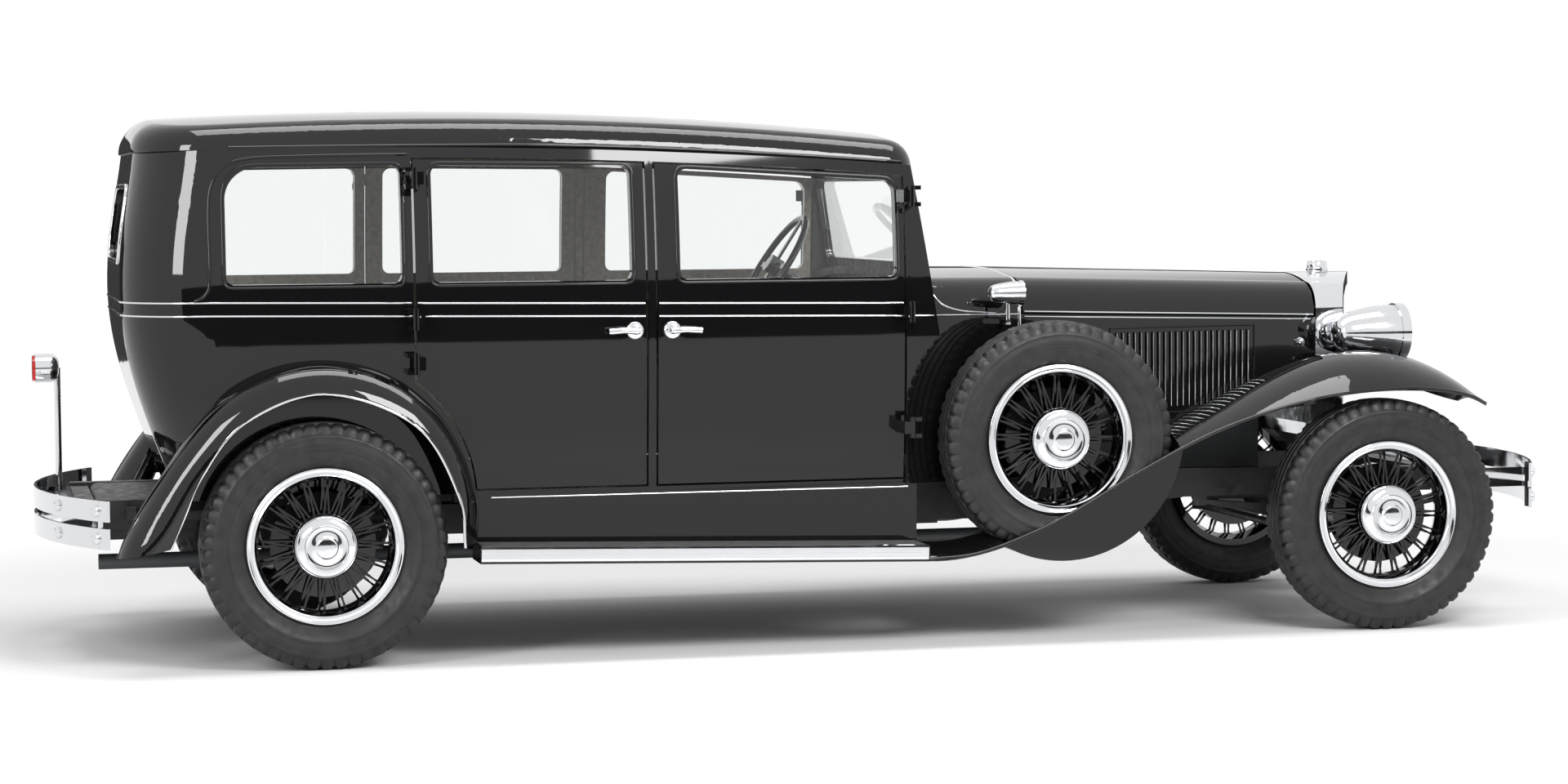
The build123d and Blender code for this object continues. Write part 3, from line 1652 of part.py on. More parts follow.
with BuildPart(helm_plane.offset(-boss_depth / 2 - running_gap)) as steering_column:
    Cylinder(column_radius, 900, align=(Align.CENTER, Align.CENTER, Align.MAX))
    split(bisect_by=Plane.YZ.offset(scuttle_x - scuttle_sheet), keep=Keep.BOTTOM)
save(steering_column.part, "steering_column")

dash_x = a_post_x + 12
dash_sheet = 24
dash_half = 590
dash_z = (1070, 1196)
with BuildPart() as dashboard:
    box_between((dash_x, -dash_half, dash_z[0]), (dash_x + dash_sheet, dash_half, dash_z[1]))
    with BuildSketch(helm_plane):
        Circle(column_radius + seat_gap)
    extrude(amount=-900, mode=Mode.SUBTRACT)
save(dashboard.part, "dashboard")

seat_half = 590
squab_depth = 130
front_seat_x = rear_axle_x + 1110
rear_seat_x = rear_axle_x - 366


def seat(back_x, base_z, cushion_z, top_z, cushion_length):
    """A bench seat: cushion and squab from one side outline."""
    with BuildPart() as bench:
        with BuildSketch(Plane.XZ) as outline:
            with BuildLine():
                Polyline(
                    (back_x, base_z),
                    (back_x + cushion_length, base_z),
                    (back_x + cushion_length, cushion_z),
                    (back_x + squab_depth + 30, cushion_z - 20),
                    (back_x + squab_depth - 40, top_z),
                    (back_x - 60, top_z),
                    close=True,
                )
            make_face()
            fillet(outline.vertices().group_by(Axis.Y)[-2:], 34)
        extrude(amount=seat_half, both=True)
    return bench.part


front_seat = seat(front_seat_x, sill_z, 830, 1190, 590)
rear_seat = seat(rear_seat_x, rear_floor_z, 880, 1200, 640)
with BuildPart() as seats:
    add(front_seat)
    add(rear_seat)
save(seats.part, "seats")
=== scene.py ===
"""Looks for a closed seven-seat saloon car of about 1931: paint, plating, tyres, mouldings and upholstery.

Metres. +X is forward, +Y is the car's left, +Z is up. Stations are measured forward from the rear axle.
"""

import math

import bmesh
import bpy
from mathutils import Matrix, Vector
from mathutils.bvhtree import BVHTree


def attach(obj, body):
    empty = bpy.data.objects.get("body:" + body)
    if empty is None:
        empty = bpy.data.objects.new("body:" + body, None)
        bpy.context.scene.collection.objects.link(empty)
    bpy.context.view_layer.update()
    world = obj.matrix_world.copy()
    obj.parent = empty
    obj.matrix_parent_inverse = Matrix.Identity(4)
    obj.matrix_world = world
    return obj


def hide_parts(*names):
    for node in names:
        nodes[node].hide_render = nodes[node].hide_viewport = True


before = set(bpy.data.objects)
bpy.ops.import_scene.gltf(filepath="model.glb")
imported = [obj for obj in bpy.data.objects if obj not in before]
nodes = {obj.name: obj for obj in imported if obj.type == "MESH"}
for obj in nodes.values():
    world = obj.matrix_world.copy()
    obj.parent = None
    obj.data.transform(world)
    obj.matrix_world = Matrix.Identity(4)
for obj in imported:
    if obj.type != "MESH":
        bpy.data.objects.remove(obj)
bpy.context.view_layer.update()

REAR_AXLE_X = -1.768
FRONT_AXLE_X = REAR_AXLE_X + 3.683
SPARE_X = REAR_AXLE_X + 2.491
SPARE_Z = 0.692
WHEEL_Y = 0.745
WHEEL_Z = 0.402
HANDS = ((-1, "right"), (1, "left"))


# Materials
def material(name, base, metallic=0.0, roughness=0.5, **sockets):
    """A Principled material with constant values set on its own sockets."""
    made = bpy.data.materials.new(name)
    made.use_nodes = True
    shader = made.node_tree.nodes["Principled BSDF"]
    shader.inputs["Base Color"].default_value = (*base, 1)
    shader.inputs["Metallic"].default_value = metallic
    shader.inputs["Roughness"].default_value = roughness
    for socket, value in sockets.items():
        shader.inputs[socket.replace("_", " ")].default_value = value
    return made


def noise_node(tree, scale, detail=4.0, stretch=(1, 1, 1)):
    """Noise in the car's own coordinates."""
    place = tree.nodes.new("ShaderNodeTexCoord")
    shape = tree.nodes.new("ShaderNodeMapping")
    shape.inputs["Scale"].default_value = stretch
    noise = tree.nodes.new("ShaderNodeTexNoise")
    noise.inputs["Scale"].default_value = scale
    noise.inputs["Detail"].default_value = detail
    tree.links.new(place.outputs["Object"], shape.inputs["Vector"])
    tree.links.new(shape.outputs["Vector"], noise.inputs["Vector"])
    return noise.outputs["Fac"]


def vary_colour(made, scale, low, high, stretch=(1, 1, 1)):
    """Lets the colour drift between two tones."""
    tree = made.node_tree
    ramp = tree.nodes.new("ShaderNodeValToRGB")
    ramp.color_ramp.elements[0].position = 0.35
    ramp.color_ramp.elements[0].color = (*low, 1)
    ramp.color_ramp.elements[1].position = 0.65
    ramp.color_ramp.elements[1].color = (*high, 1)
    tree.links.new(noise_node(tree, scale, stretch=stretch), ramp.inputs["Fac"])
    tree.links.new(ramp.outputs["Color"], tree.nodes["Principled BSDF"].inputs["Base Color"])


def vary_roughness(made, scale, low, high, stretch=(1, 1, 1)):
    """Lets the gloss drift between two values."""
    tree = made.node_tree
    spread = tree.nodes.new("ShaderNodeMapRange")
    spread.inputs["From Min"].default_value = 0.35
    spread.inputs["From Max"].default_value = 0.65
    spread.inputs["To Min"].default_value = low
    spread.inputs["To Max"].default_value = high
    tree.links.new(noise_node(tree, scale, stretch=stretch), spread.inputs["Value"])
    tree.links.new(spread.outputs["Result"], tree.nodes["Principled BSDF"].inputs["Roughness"])


def bump(made, height, strength, distance):
    """Adds surface relief from a height output."""
    tree = made.node_tree
    relief = tree.nodes.new("ShaderNodeBump")
    relief.inputs["Strength"].default_value = strength
    relief.inputs["Distance"].default_value = distance
    tree.links.new(height, relief.inputs["Height"])
    tree.links.new(relief.outputs["Normal"], tree.nodes["Principled BSDF"].inputs["Normal"])


paint = material(
    "black_coach_paint", (0.004, 0.004, 0.0045), roughness=0.3,
    Specular_IOR_Level=0.0, Coat_Weight=1.0, Coat_Roughness=0.03,
)
vary_roughness(paint, 7, 0.25, 0.4)
bump(paint, noise_node(paint.node_tree, 26, 1.0), 0.02, 0.002)

satin = material("satin_black", (0.012, 0.012, 0.013), roughness=0.45)
vary_roughness(satin, 30, 0.36, 0.6)
vary_colour(satin, 9, (0.009, 0.009, 0.01), (0.02, 0.019, 0.018))

chrome = material("bright_plate", (0.74, 0.75, 0.77), metallic=1.0, roughness=0.07)
vary_roughness(chrome, 14, 0.04, 0.12)

dull_metal = material("dull_metal", (0.3, 0.31, 0.32), metallic=1.0, roughness=0.35)
vary_roughness(dull_metal, 40, 0.25, 0.5)

iron = material("cast_iron_grey", (0.09, 0.095, 0.1), metallic=0.6, roughness=0.6)
bump(iron, noise_node(iron.node_tree, 160), 0.3, 0.001)

rubber = material("tyre_rubber", (0.008, 0.008, 0.008), roughness=0.5)
vary_colour(rubber, 22, (0.005, 0.005, 0.005), (0.014, 0.0135, 0.013))
vary_roughness(rubber, 35, 0.42, 0.62)
bump(rubber, noise_node(rubber.node_tree, 420), 0.15, 0.0008)

ribbed_rubber = material("step_rubber", (0.02, 0.02, 0.02), roughness=0.55)
vary_colour(ribbed_rubber, 30, (0.014, 0.014, 0.014), (0.035, 0.034, 0.033))

cloth = material("wool_cloth", (0.2, 0.18, 0.15), roughness=0.9, Sheen_Weight=0.4)
vary_colour(cloth, 60, (0.15, 0.135, 0.115), (0.25, 0.225, 0.19))
weave = cloth.node_tree.nodes.new("ShaderNodeTexVoronoi")
weave.inputs["Scale"].default_value = 420
bump(cloth, weave.outputs["Distance"], 0.5, 0.0012)

headlining = material("headlining", (0.3, 0.28, 0.25), roughness=0.95, Sheen_Weight=0.3)
bump(headlining, noise_node(headlining.node_tree, 600), 0.4, 0.0006)

carpet = material("carpet", (0.03, 0.028, 0.026), roughness=1.0, Sheen_Weight=0.3)
bump(carpet, noise_node(carpet.node_tree, 500), 0.8, 0.003)

wood = material("dash_wood", (0.09, 0.045, 0.02), roughness=0.25, Coat_Weight=0.6)
vary_colour(wood, 6, (0.05, 0.022, 0.009), (0.14, 0.07, 0.03), stretch=(1, 1, 14))

bakelite = material("black_bakelite", (0.008, 0.007, 0.007), roughness=0.18, Coat_Weight=0.5)
vary_roughness(bakelite, 18, 0.12, 0.28)

dial_face = material("dial_face", (0.5, 0.47, 0.4), roughness=0.5)
vary_colour(dial_face, 20, (0.42, 0.39, 0.33), (0.55, 0.52, 0.45))


def glass_material(name, tint):
    """Clear glass that lets light through to what is behind it."""
    made = material(name, tint, roughness=0.0, Transmission_Weight=1.0, IOR=1.45)
    tree = made.node_tree
    shader = tree.nodes["Principled BSDF"]
    end = tree.nodes["Material Output"]
    clear = tree.nodes.new("ShaderNodeBsdfTransparent")
    clear.inputs["Color"].default_value = (*tint, 1)
    path = tree.nodes.new("ShaderNodeLightPath")
    mix = tree.nodes.new("ShaderNodeMixShader")
    tree.links.new(path.outputs["Is Shadow Ray"], mix.inputs["Fac"])
    tree.links.new(shader.outputs["BSDF"], mix.inputs[1])
    tree.links.new(clear.outputs["BSDF"], mix.inputs[2])
    tree.links.new(mix.outputs["Shader"], end.inputs["Surface"])
    return made


glass = glass_material("window_glass", (0.97, 0.985, 0.98))
red_glass = glass_material("tail_glass", (0.6, 0.02, 0.015))

lens_glass = glass_material("lamp_glass", (0.97, 0.97, 0.96))
flutes = lens_glass.node_tree.nodes.new("ShaderNodeTexWave")
flutes.wave_type = "BANDS"
flutes.bands_direction = "Y"
flutes.inputs["Scale"].default_value = 22
lens_place = lens_glass.node_tree.nodes.new("ShaderNodeTexCoord")
lens_glass.node_tree.links.new(lens_place.outputs["Object"], flutes.inputs["Vector"])
bump(lens_glass, flutes.outputs["Fac"], 0.5, 0.002)


# Carried-over CAD nodes
def dress(node, *kinds, choose=None):
    """Gives a CAD node its materials, chosen face by face where there are several."""
    mesh = nodes[node].data
    mesh.materials.clear()
    for kind in kinds:
        mesh.materials.append(kind)
    for face in mesh.polygons:
        face.material_index = choose(face.center, face.normal) if choose else 0


def facing_in(side):
    """Cloth on the faces of a side panel that look into the cabin."""
    return lambda centre, normal: 1 if normal.y * side < -0.6 and abs(centre.y) < 0.7 else 0


CABIN = Vector((-1.0, 0, 1.15))


def cabin_side(centre, normal):
    """Cloth on the faces that look towards the middle of the cabin."""
    toward = CABIN - centre
    toward.normalize()
    return 1 if normal.dot(toward) > 0.45 else 0


HUB_RADIUS = 0.11
RIM_RADIUS = 0.235
PLATED_OUT = 0.05


def wheel_faces(centre, normal):
    """Black spokes, drum and well of a wheel; its cap and the outer edge of its rim are plated."""
    station = min((REAR_AXLE_X, FRONT_AXLE_X, SPARE_X), key=lambda x: abs(x - centre.x))
    height = SPARE_Z if station == SPARE_X else WHEEL_Z
    radius = math.hypot(centre.x - station, centre.z - height)
    plated = radius < HUB_RADIUS or radius > RIM_RADIUS
    return 1 if plated and abs(centre.y) - WHEEL_Y > PLATED_OUT else 0


for name in nodes:
    dress(name, satin)
for side, hand in HANDS:
    for name in ("door_front", "door_rear", "side_frame"):
        dress(f"{name}_{hand}", paint, cloth, choose=facing_in(side))
    for name in ("bonnet_top", "bonnet_side", "front_wing", "rear_wing", "running_board"):
        dress(f"{name}_{hand}", paint)
    for name in ("wheel_front", "wheel_rear"):
        dress(f"{name}_{hand}", paint, chrome, choose=wheel_faces)
    for name in ("door_glass_front", "door_glass_rear"):
        dress(f"{name}_{hand}", glass)
dress("spare_wheels", paint, chrome, choose=wheel_faces)
dress("rear_body", paint, cloth, choose=cabin_side)
dress("scuttle", paint, satin, choose=cabin_side)
dress("roof", paint, headlining, choose=lambda centre, normal: 1 if normal.z < -0.3 else 0)
dress("floor", satin, carpet, choose=lambda centre, normal: 1 if normal.z > 0.5 else 0)
dress("bonnet_hinge", chrome)
for name in ("radiator_shell", "headlamps", "side_lamps", "tail_lamp", "front_bumper", "rear_bumper"):
    dress(name, chrome)
dress("radiator_grille", dull_metal)
dress("engine_block", iron)
dress("exhaust", iron)
dress("fixed_glass", glass)
dress("lamp_lenses", lens_glass, red_glass, choose=lambda centre, normal: 1 if centre.x < -2.5 else 0)
dress("dashboard", wood)
dress("steering_wheel", bakelite)
dress("steering_column", bakelite)


# Mesh helpers
def finish_piece(name, bm, kind, body, sharp=35):
    """Turns a bmesh into a piece that rides on a body."""
    bmesh.ops.recalc_face_normals(bm, faces=bm.faces)
    mesh = bpy.data.meshes.new(name)
    bm.to_mesh(mesh)
    bm.free()
    mesh.materials.append(kind)
    mesh.shade_smooth()
    mesh.set_sharp_from_angle(angle=math.radians(sharp))
    piece = bpy.data.objects.new(name, mesh)
    bpy.context.scene.collection.objects.link(piece)
    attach(piece, body)
    return piece


def skin_rings(bm, rings, around=True, along=False):
    """Faces between neighbouring rings of points."""
    made = [[bm.verts.new(point) for point in ring] for ring in rings]
    pairs = list(zip(made, made[1:]))
    if along:
        pairs.append((made[-1], made[0]))
    for first, second in pairs:
        count = len(first)
        for number in range(count if around else count - 1):
            after = (number + 1) % count
            bm.faces.new((first[number], first[after], second[after], second[number]))
    if around and not along:
        bm.faces.new(made[0])
        bm.faces.new(made[-1])


def bead_rings(path, normals, width, height, count=10):
    """Oval rings along a path, wide across it and high along its normals."""
    rings = []
    for number, (point, normal) in enumerate(zip(path, normals)):
        ahead = path[min(number + 1, len(path) - 1)] - path[max(number - 1, 0)]
        across = ahead.cross(normal).normalized()
        up = across.cross(ahead).normalized()
        ring = []
        for step in range(count):
            turn = 2 * math.pi * step / count
            ring.append(point + across * (width / 2 * math.cos(turn)) + up * (height * math.sin(turn)))
        rings.append(ring)
    return rings


def bead(name, paths, width, height, kind, body, count=10):
    """One piece of half-sunk beads, each along its own path of points and normals."""
    bm = bmesh.new()
    for path, normals in paths:
        skin_rings(bm, bead_rings(path, normals, width, height, count))
    return finish_piece(name, bm, kind, body, sharp=60)


def smooth_path(points, steps=8):
    """A smooth line through points."""
    points = [Vector(point) for point in points]
    ends = [2 * points[0] - points[1]] + points + [2 * points[-1] - points[-2]]
    line = []
    for a, b, c, d in zip(ends, ends[1:], ends[2:], ends[3:]):
        for number in range(steps):
            t = number / steps
            line.append(
                0.5
                * (
                    2 * b + (c - a) * t + (2 * a - 5 * b + 4 * c - d) * t * t
                    + (3 * b - a - 3 * c + d) * t ** 3
                )
            )
    line.append(points[-1])
    return line


def lathe(bm, profile, centre, axis, count=72):
    """Turned surface from (radius, distance along the axis) points."""
    axis = Vector(axis).normalized()
    first = axis.orthogonal().normalized()
    second = axis.cross(first)
    rings = []
    for step in range(count):
        turn = 2 * math.pi * step / count
        out = first * math.cos(turn) + second * math.sin(turn)
        rings.append([centre + axis * along + out * radius for radius, along in profile])
    skin_rings(bm, rings, around=False, along=True)


trees = {}


def tree_of(node):
    """Search tree of a CAD node's faces."""
    if node not in trees:
        mesh = nodes[node].data
        trees[node] = BVHTree.FromPolygons([v.co for v in mesh.vertices], [p.vertices for p in mesh.polygons])
    return trees[node]


def touch(node, origin, direction):
    """Where a ray meets a node and the normal there, turned back along the ray, or None."""
    point, normal, face, far = tree_of(node).ray_cast(Vector(origin), Vector(direction))
    if point is None:
        return None
    return point, normal if normal.dot(Vector(direction)) < 0 else -normal


def path_of(hits):
    """Points and normals of the rays that met something."""
    met = [hit for hit in hits if hit]
    return [point for point, normal in met], [normal for point, normal in met]


def on_side(node, x, z, side):
    """Point and normal of a node's outer face at a station and height on one side."""
    return touch(node, (x, 2 * side, z), (0, -side, 0))


def side_line(node, points, side):
    """A path on a node's outer face through (x, z) points, and its normals."""
    return path_of(on_side(node, x, z, side) for x, z in points)


def run(start, end, count):
    """Even steps from one number to another."""
    return [start + (end - start) * number / (count - 1) for number in range(count)]


# Tyres
TYRE_HALF = (
    (0.052, 0.2395), (0.056, 0.259), (0.066, 0.272), (0.076, 0.284), (0.083, 0.294), (0.0875, 0.303),
    (0.0895, 0.309), (0.0895, 0.313), (0.0912, 0.314), (0.0912, 0.319), (0.0903, 0.320), (0.0918, 0.329),
    (0.0905, 0.343), (0.0880, 0.355), (0.0885, 0.357), (0.0868, 0.362), (0.0850, 0.364), (0.0818, 0.374),
    (0.0785, 0.384), (0.0740, 0.3915), (0.0660, 0.3975), (0.0560, 0.3995), (0.0470, 0.4002), (0.0450, 0.3925),
    (0.0400, 0.3925), (0.0380, 0.4009), (0.0200, 0.4016), (0.0180, 0.3935), (0.0130, 0.3935), (0.0110, 0.4018),
    (0.0, 0.402),
)
TYRE_PITCHES = 54
PITCH_STEPS = 4
SHOULDER_RADIUS = 0.373
SHOULDER_OUT = 0.046
NOTCH_DEPTH = 0.008
NOTCH_INSET = 0.003


def tyre(name, centre, node, body):
    """A tyre with ribs round its tread and notched blocks on its shoulders."""
    outline = list(TYRE_HALF) + [(-y, r) for y, r in reversed(TYRE_HALF[:-1])]
    rings = []
    for step in range(TYRE_PITCHES * PITCH_STEPS):
        turn = 2 * math.pi * step / (TYRE_PITCHES * PITCH_STEPS)
        notch = step % PITCH_STEPS == 0
        ring = []
        for y, r in outline:
            if notch and r > SHOULDER_RADIUS and abs(y) > SHOULDER_OUT:
                r -= NOTCH_DEPTH
                y -= math.copysign(NOTCH_INSET, y)
            ring.append(centre + Vector((r * math.cos(turn), y, r * math.sin(turn))))
        rings.append(ring)
    bm = bmesh.new()
    skin_rings(bm, rings, around=True, along=True)
    piece = finish_piece(name, bm, rubber, body, sharp=32)
    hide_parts(node)
    return piece


# Hub caps and rim rings
CAP_PROFILE = (
    (0.0, 0.1100), (0.028, 0.1100), (0.032, 0.1090), (0.035, 0.1050), (0.037, 0.1040), (0.050, 0.1032),
    (0.062, 0.1003), (0.065, 0.1018), (0.069, 0.1015), (0.072, 0.0965), (0.082, 0.0930), (0.092, 0.0845),
    (0.095, 0.0850), (0.099, 0.0815), (0.103, 0.0755), (0.107, 0.0620), (0.1075, 0.0560), (0.100, 0.0550),
)
RING_PROFILE = (
    (0.2145, 0.030), (0.2175, 0.046), (0.2225, 0.058), (0.2270, 0.0655), (0.2310, 0.0690), (0.2345, 0.0670),
    (0.2380, 0.0650), (0.2430, 0.0665), (0.2490, 0.0705), (0.2530, 0.0705), (0.2558, 0.0675), (0.2555, 0.0600),
)


def wheel_brightwork(name, centre, side, body):
    """Stepped hub cap and rolled rim ring of one wheel."""
    bm = bmesh.new()
    lathe(bm, CAP_PROFILE, centre, (0, side, 0), 96)
    lathe(bm, RING_PROFILE, centre, (0, side, 0), 120)
    return finish_piece(name, bm, chrome, body, sharp=50)


for side, hand in HANDS:
    for where, x in (("front", FRONT_AXLE_X), ("rear", REAR_AXLE_X)):
        middle = Vector((x, side * WHEEL_Y, WHEEL_Z))
        body = f"wheel_{where}_{hand}"
        tyre(f"road_tyre_{where}_{hand}", middle, f"tyre_{where}_{hand}", body)
        wheel_brightwork(f"hub_cap_{where}_{hand}", middle, side, body)
    middle = Vector((SPARE_X, side * WHEEL_Y, SPARE_Z))
    tyre(f"spare_tyre_{hand}", middle, "spare_tyres", "car")
    wheel_brightwork(f"spare_hub_cap_{hand}", middle, side, "car")


# Belt mouldings
BELT_Z = 1.1866
BELT_DROP = 0.0142
BELT_GAP = 0.043
LINE_WIDTH = 0.0065
LINE_HEIGHT = 0.0035


def belt(x):
    """Height of the upper belt line at a point along the car."""
    return BELT_Z - BELT_DROP * (x - REAR_AXLE_X)


C_POST = REAR_AXLE_X + 0.309
B_POST = REAR_AXLE_X + 1.102
A_POST = REAR_AXLE_X + 1.985
SCUTTLE = REAR_AXLE_X + 2.430
NOSE = REAR_AXLE_X + 3.612
CORNER_X = REAR_AXLE_X - 0.347
CORNER_Y = 0.441


def rear_belt(drop):
    """Belt line round the back of the body, from one C-post to the other."""
    hits = []
    for side in (-1, 1):
        corner = [on_side("rear_body", x, belt(x) - drop, side) for x in run(C_POST - 0.008, CORNER_X, 14)]
        centre = Vector((CORNER_X, side * CORNER_Y, belt(CORNER_X) - drop))
        for turn in run(0, 90, 19):
            out = Vector((-math.sin(math.radians(turn)), side * math.cos(math.radians(turn)), 0))
            corner.append(touch("rear_body", centre + out, -out))
        hits += corner if side == -1 else reversed(corner)
    return path_of(hits)


rear_lines = [rear_belt(drop) for drop in (0, BELT_GAP)]
bead("belt_lines_rear", rear_lines, LINE_WIDTH, LINE_HEIGHT, chrome, "car")
for side, hand in HANDS:
    for node, rear, front in (
        (f"door_rear_{hand}", C_POST + 0.012, B_POST - 0.024),
        (f"door_front_{hand}", B_POST + 0.024, A_POST - 0.012),
    ):
        stations = run(rear, front, 24)
        lines = [side_line(node, [(x, belt(x) - drop) for x in stations], side) for drop in (0, BELT_GAP)]
        bead(f"belt_lines_{node}", lines, LINE_WIDTH, LINE_HEIGHT, chrome, node)
    cowl_low = [(x, belt(x) - BELT_GAP) for x in run(A_POST + 0.006, SCUTTLE - 0.004, 16)]
    cowl_sweep = [
        (REAR_AXLE_X + 2.085, 1.196), (REAR_AXLE_X + 2.105, 1.165), (REAR_AXLE_X + 2.140, 1.142),
        (REAR_AXLE_X + 2.200, 1.126), (REAR_AXLE_X + 2.280, 1.119), (REAR_AXLE_X + 2.330, 1.114),
    ]
    sweep = [(point.x, point.z) for point in smooth_path([(x, 0, z) for x, z in cowl_sweep])]
    bead(
        f"cowl_lines_{hand}",
        [side_line("scuttle", cowl_low, side), side_line("scuttle", sweep, side)],
        LINE_WIDTH, LINE_HEIGHT, chrome, "car",
    )

# Cowl band between scuttle and bonnet
band_centre = Vector((SCUTTLE - 0.006, 0, 1.02))
band_hits = []
for turn in run(-100, 100, 81):
    out = Vector((0, math.sin(math.radians(turn)), math.cos(math.radians(turn))))
    band_hits.append(touch("scuttle", band_centre + 2 * out, -out))
bead("cowl_band", [path_of(band_hits)], 0.012, 0.003, chrome, "car")


# Bonnet mouldings, louvre ribs and latches
def bonnet_z(x, rear_z, front_z):
    """Height of a straight bonnet line at a station."""
    return rear_z + (front_z - rear_z) * (x - SCUTTLE) / (NOSE - SCUTTLE)


LOUVRE_COUNT = 23
LOUVRE_START = SCUTTLE + 0.372
LOUVRE_PITCH = 0.024
LOUVRE_LOW = 0.770
LOUVRE_HIGH = 1.036
LOUVRE_MARGIN = 0.026
RIB_INSET = 0.003
LATCH_PROFILE = (
    (0.0, 0.022), (0.009, 0.021), (0.013, 0.017), (0.013, 0.012),
    (0.008, 0.009), (0.008, 0.004), (0.017, 0.003), (0.018, -0.002),
)
for side, hand in HANDS:
    lid = f"bonnet_top_{hand}"
    panel = f"bonnet_side_{hand}"
    xs = run(SCUTTLE + 0.012, NOSE - 0.012, 30)
    top_line = side_line(lid, [(x, bonnet_z(x, 1.1185, 1.0825)) for x in xs], side)
    bead(f"bonnet_line_top_{hand}", [top_line], LINE_WIDTH, LINE_HEIGHT, chrome, lid)
    xs = run(SCUTTLE + 0.012, NOSE - 0.022, 30)
    low_line = side_line(panel, [(x, bonnet_z(x, 1.101, 1.066)) for x in xs], side)
    bead(f"bonnet_line_side_{hand}", [low_line], LINE_WIDTH, LINE_HEIGHT, chrome, "car")
    heights = run(LOUVRE_LOW + RIB_INSET, LOUVRE_HIGH - RIB_INSET, 6)
    ribs = []
    for number in range(LOUVRE_COUNT):
        x = LOUVRE_START + LOUVRE_PITCH * number
        ribs.append(side_line(panel, [(x, z) for z in heights], side))
    bead(f"louvre_ribs_{hand}", ribs, 0.0055, 0.003, chrome, "car", 8)
    first = LOUVRE_START - LOUVRE_MARGIN
    last = LOUVRE_START + LOUVRE_PITCH * (LOUVRE_COUNT - 1) + LOUVRE_MARGIN
    low = LOUVRE_LOW - 0.02
    high = LOUVRE_HIGH + 0.016
    edges = [
        [(x, high) for x in run(first, last, 20)],
        [(last, z) for z in run(high, low, 10)],
        [(x, low) for x in run(last, first, 20)],
        [(first, z) for z in run(low, high, 10)],
    ]
    bead(
        f"louvre_frame_{hand}", [side_line(panel, edge, side) for edge in edges],
        0.007, 0.003, paint, "car", 8,
    )
    bm = bmesh.new()
    seat, out = on_side(panel, REAR_AXLE_X + 3.545, 0.985, side)
    lathe(bm, LATCH_PROFILE, seat, out, 32)
    finish_piece(f"bonnet_latch_{hand}", bm, chrome, "car")


# Drip moulding and quarter bead
def drip(station):
    """Height of the drip line at a station."""
    if station < 0.65:
        return 1.688 - 0.012 * ((0.65 - station) / 1.35) ** 2
    return 1.688 - 0.079 * ((station - 0.65) / 1.55) ** 1.6


for side, hand in HANDS:
    rail = [(REAR_AXLE_X + station, drip(station) + 0.009) for station in run(-0.28, 1.99, 60)]
    bead(f"drip_rail_{hand}", [side_line("roof", rail, side)], 0.013, 0.007, paint, "car")
    quarter = smooth_path(
        [
            (REAR_AXLE_X - 0.40, 0, 1.196), (REAR_AXLE_X - 0.362, 0, 1.222), (REAR_AXLE_X - 0.350, 0, 1.28),
            (REAR_AXLE_X - 0.350, 0, 1.50), (REAR_AXLE_X - 0.332, 0, 1.585), (REAR_AXLE_X - 0.285, 0, 1.637),
            (REAR_AXLE_X - 0.21, 0, 1.658), (REAR_AXLE_X - 0.05, 0, 1.664), (REAR_AXLE_X + 0.12, 0, 1.667),
            (REAR_AXLE_X + 0.298, 0, 1.668),
        ]
    )
    quarter_line = side_line("rear_body", [(point.x, point.z) for point in quarter], side)
    bead(f"quarter_bead_{hand}", [quarter_line], 0.010, 0.0045, paint, "car")


# Window beads round each side window
WINDOWS = (
    ("rear_body", -0.297, 0.272, 0.105, 0.030),
    ("door_rear", 0.374, 1.036, 0.030, 0.030),
    ("door_front", 1.200, 1.952, 0.030, 0.044),
)
SILL = 1.248
HEAD_DROP = 0.056
BEAD_OUT = 0.010
SILL_RADIUS = 0.034


def rounded(corners):
    """Closed outline with rounded corners from (x, z, radius) points."""
    line = []
    count = len(corners)
    for number in range(count):
        x, z, radius = corners[number]
        here = Vector((x, z))
        before = Vector(corners[number - 1][:2]) - here
        after = Vector(corners[(number + 1) % count][:2]) - here
        start = here + before.normalized() * radius
        end = here + after.normalized() * radius
        for step in range(9):
            t = step / 8
            line.append((1 - t) ** 2 * start + 2 * t * (1 - t) * here + t ** 2 * end)
    dense = []
    for a, b in zip(line, line[1:] + line[:1]):
        pieces = max(1, int((b - a).length / 0.03))
        dense += [a.lerp(b, number / pieces) for number in range(pieces)]
    return dense + [dense[0]]


for side, hand in HANDS:
    for node, rear, front, rear_radius, front_radius in WINDOWS:
        target = node if node == "rear_body" else f"{node}_{hand}"
        rider = "car" if node == "rear_body" else target
        left = REAR_AXLE_X + rear - BEAD_OUT
        right = REAR_AXLE_X + front + BEAD_OUT
        outline = rounded(
            (
                (left, SILL - BEAD_OUT, SILL_RADIUS),
                (right, SILL - BEAD_OUT, SILL_RADIUS),
                (right, drip(front) - HEAD_DROP + BEAD_OUT, front_radius + BEAD_OUT),
                (left, drip(rear) - HEAD_DROP + BEAD_OUT, rear_radius + BEAD_OUT),
            )
        )
        around = side_line(target, [(point.x, point.y) for point in outline], side)
        bead(f"window_bead_{node}_{hand}", [around], 0.009, 0.004, paint, rider)

BACK_WIDE, BACK_LOW, BACK_HIGH, BACK_RADIUS = 0.340, 1.320, 1.570, 0.06
back_corners = ((-BACK_WIDE, BACK_LOW), (BACK_WIDE, BACK_LOW), (BACK_WIDE, BACK_HIGH), (-BACK_WIDE, BACK_HIGH))
back_outline = rounded([(y, z, BACK_RADIUS) for y, z in back_corners])
back_hits = [touch("rear_body", (-4, point.x, point.y), (1, 0, 0)) for point in back_outline]
bead("back_window_frame", [path_of(back_hits)], 0.018, 0.006, chrome, "car")

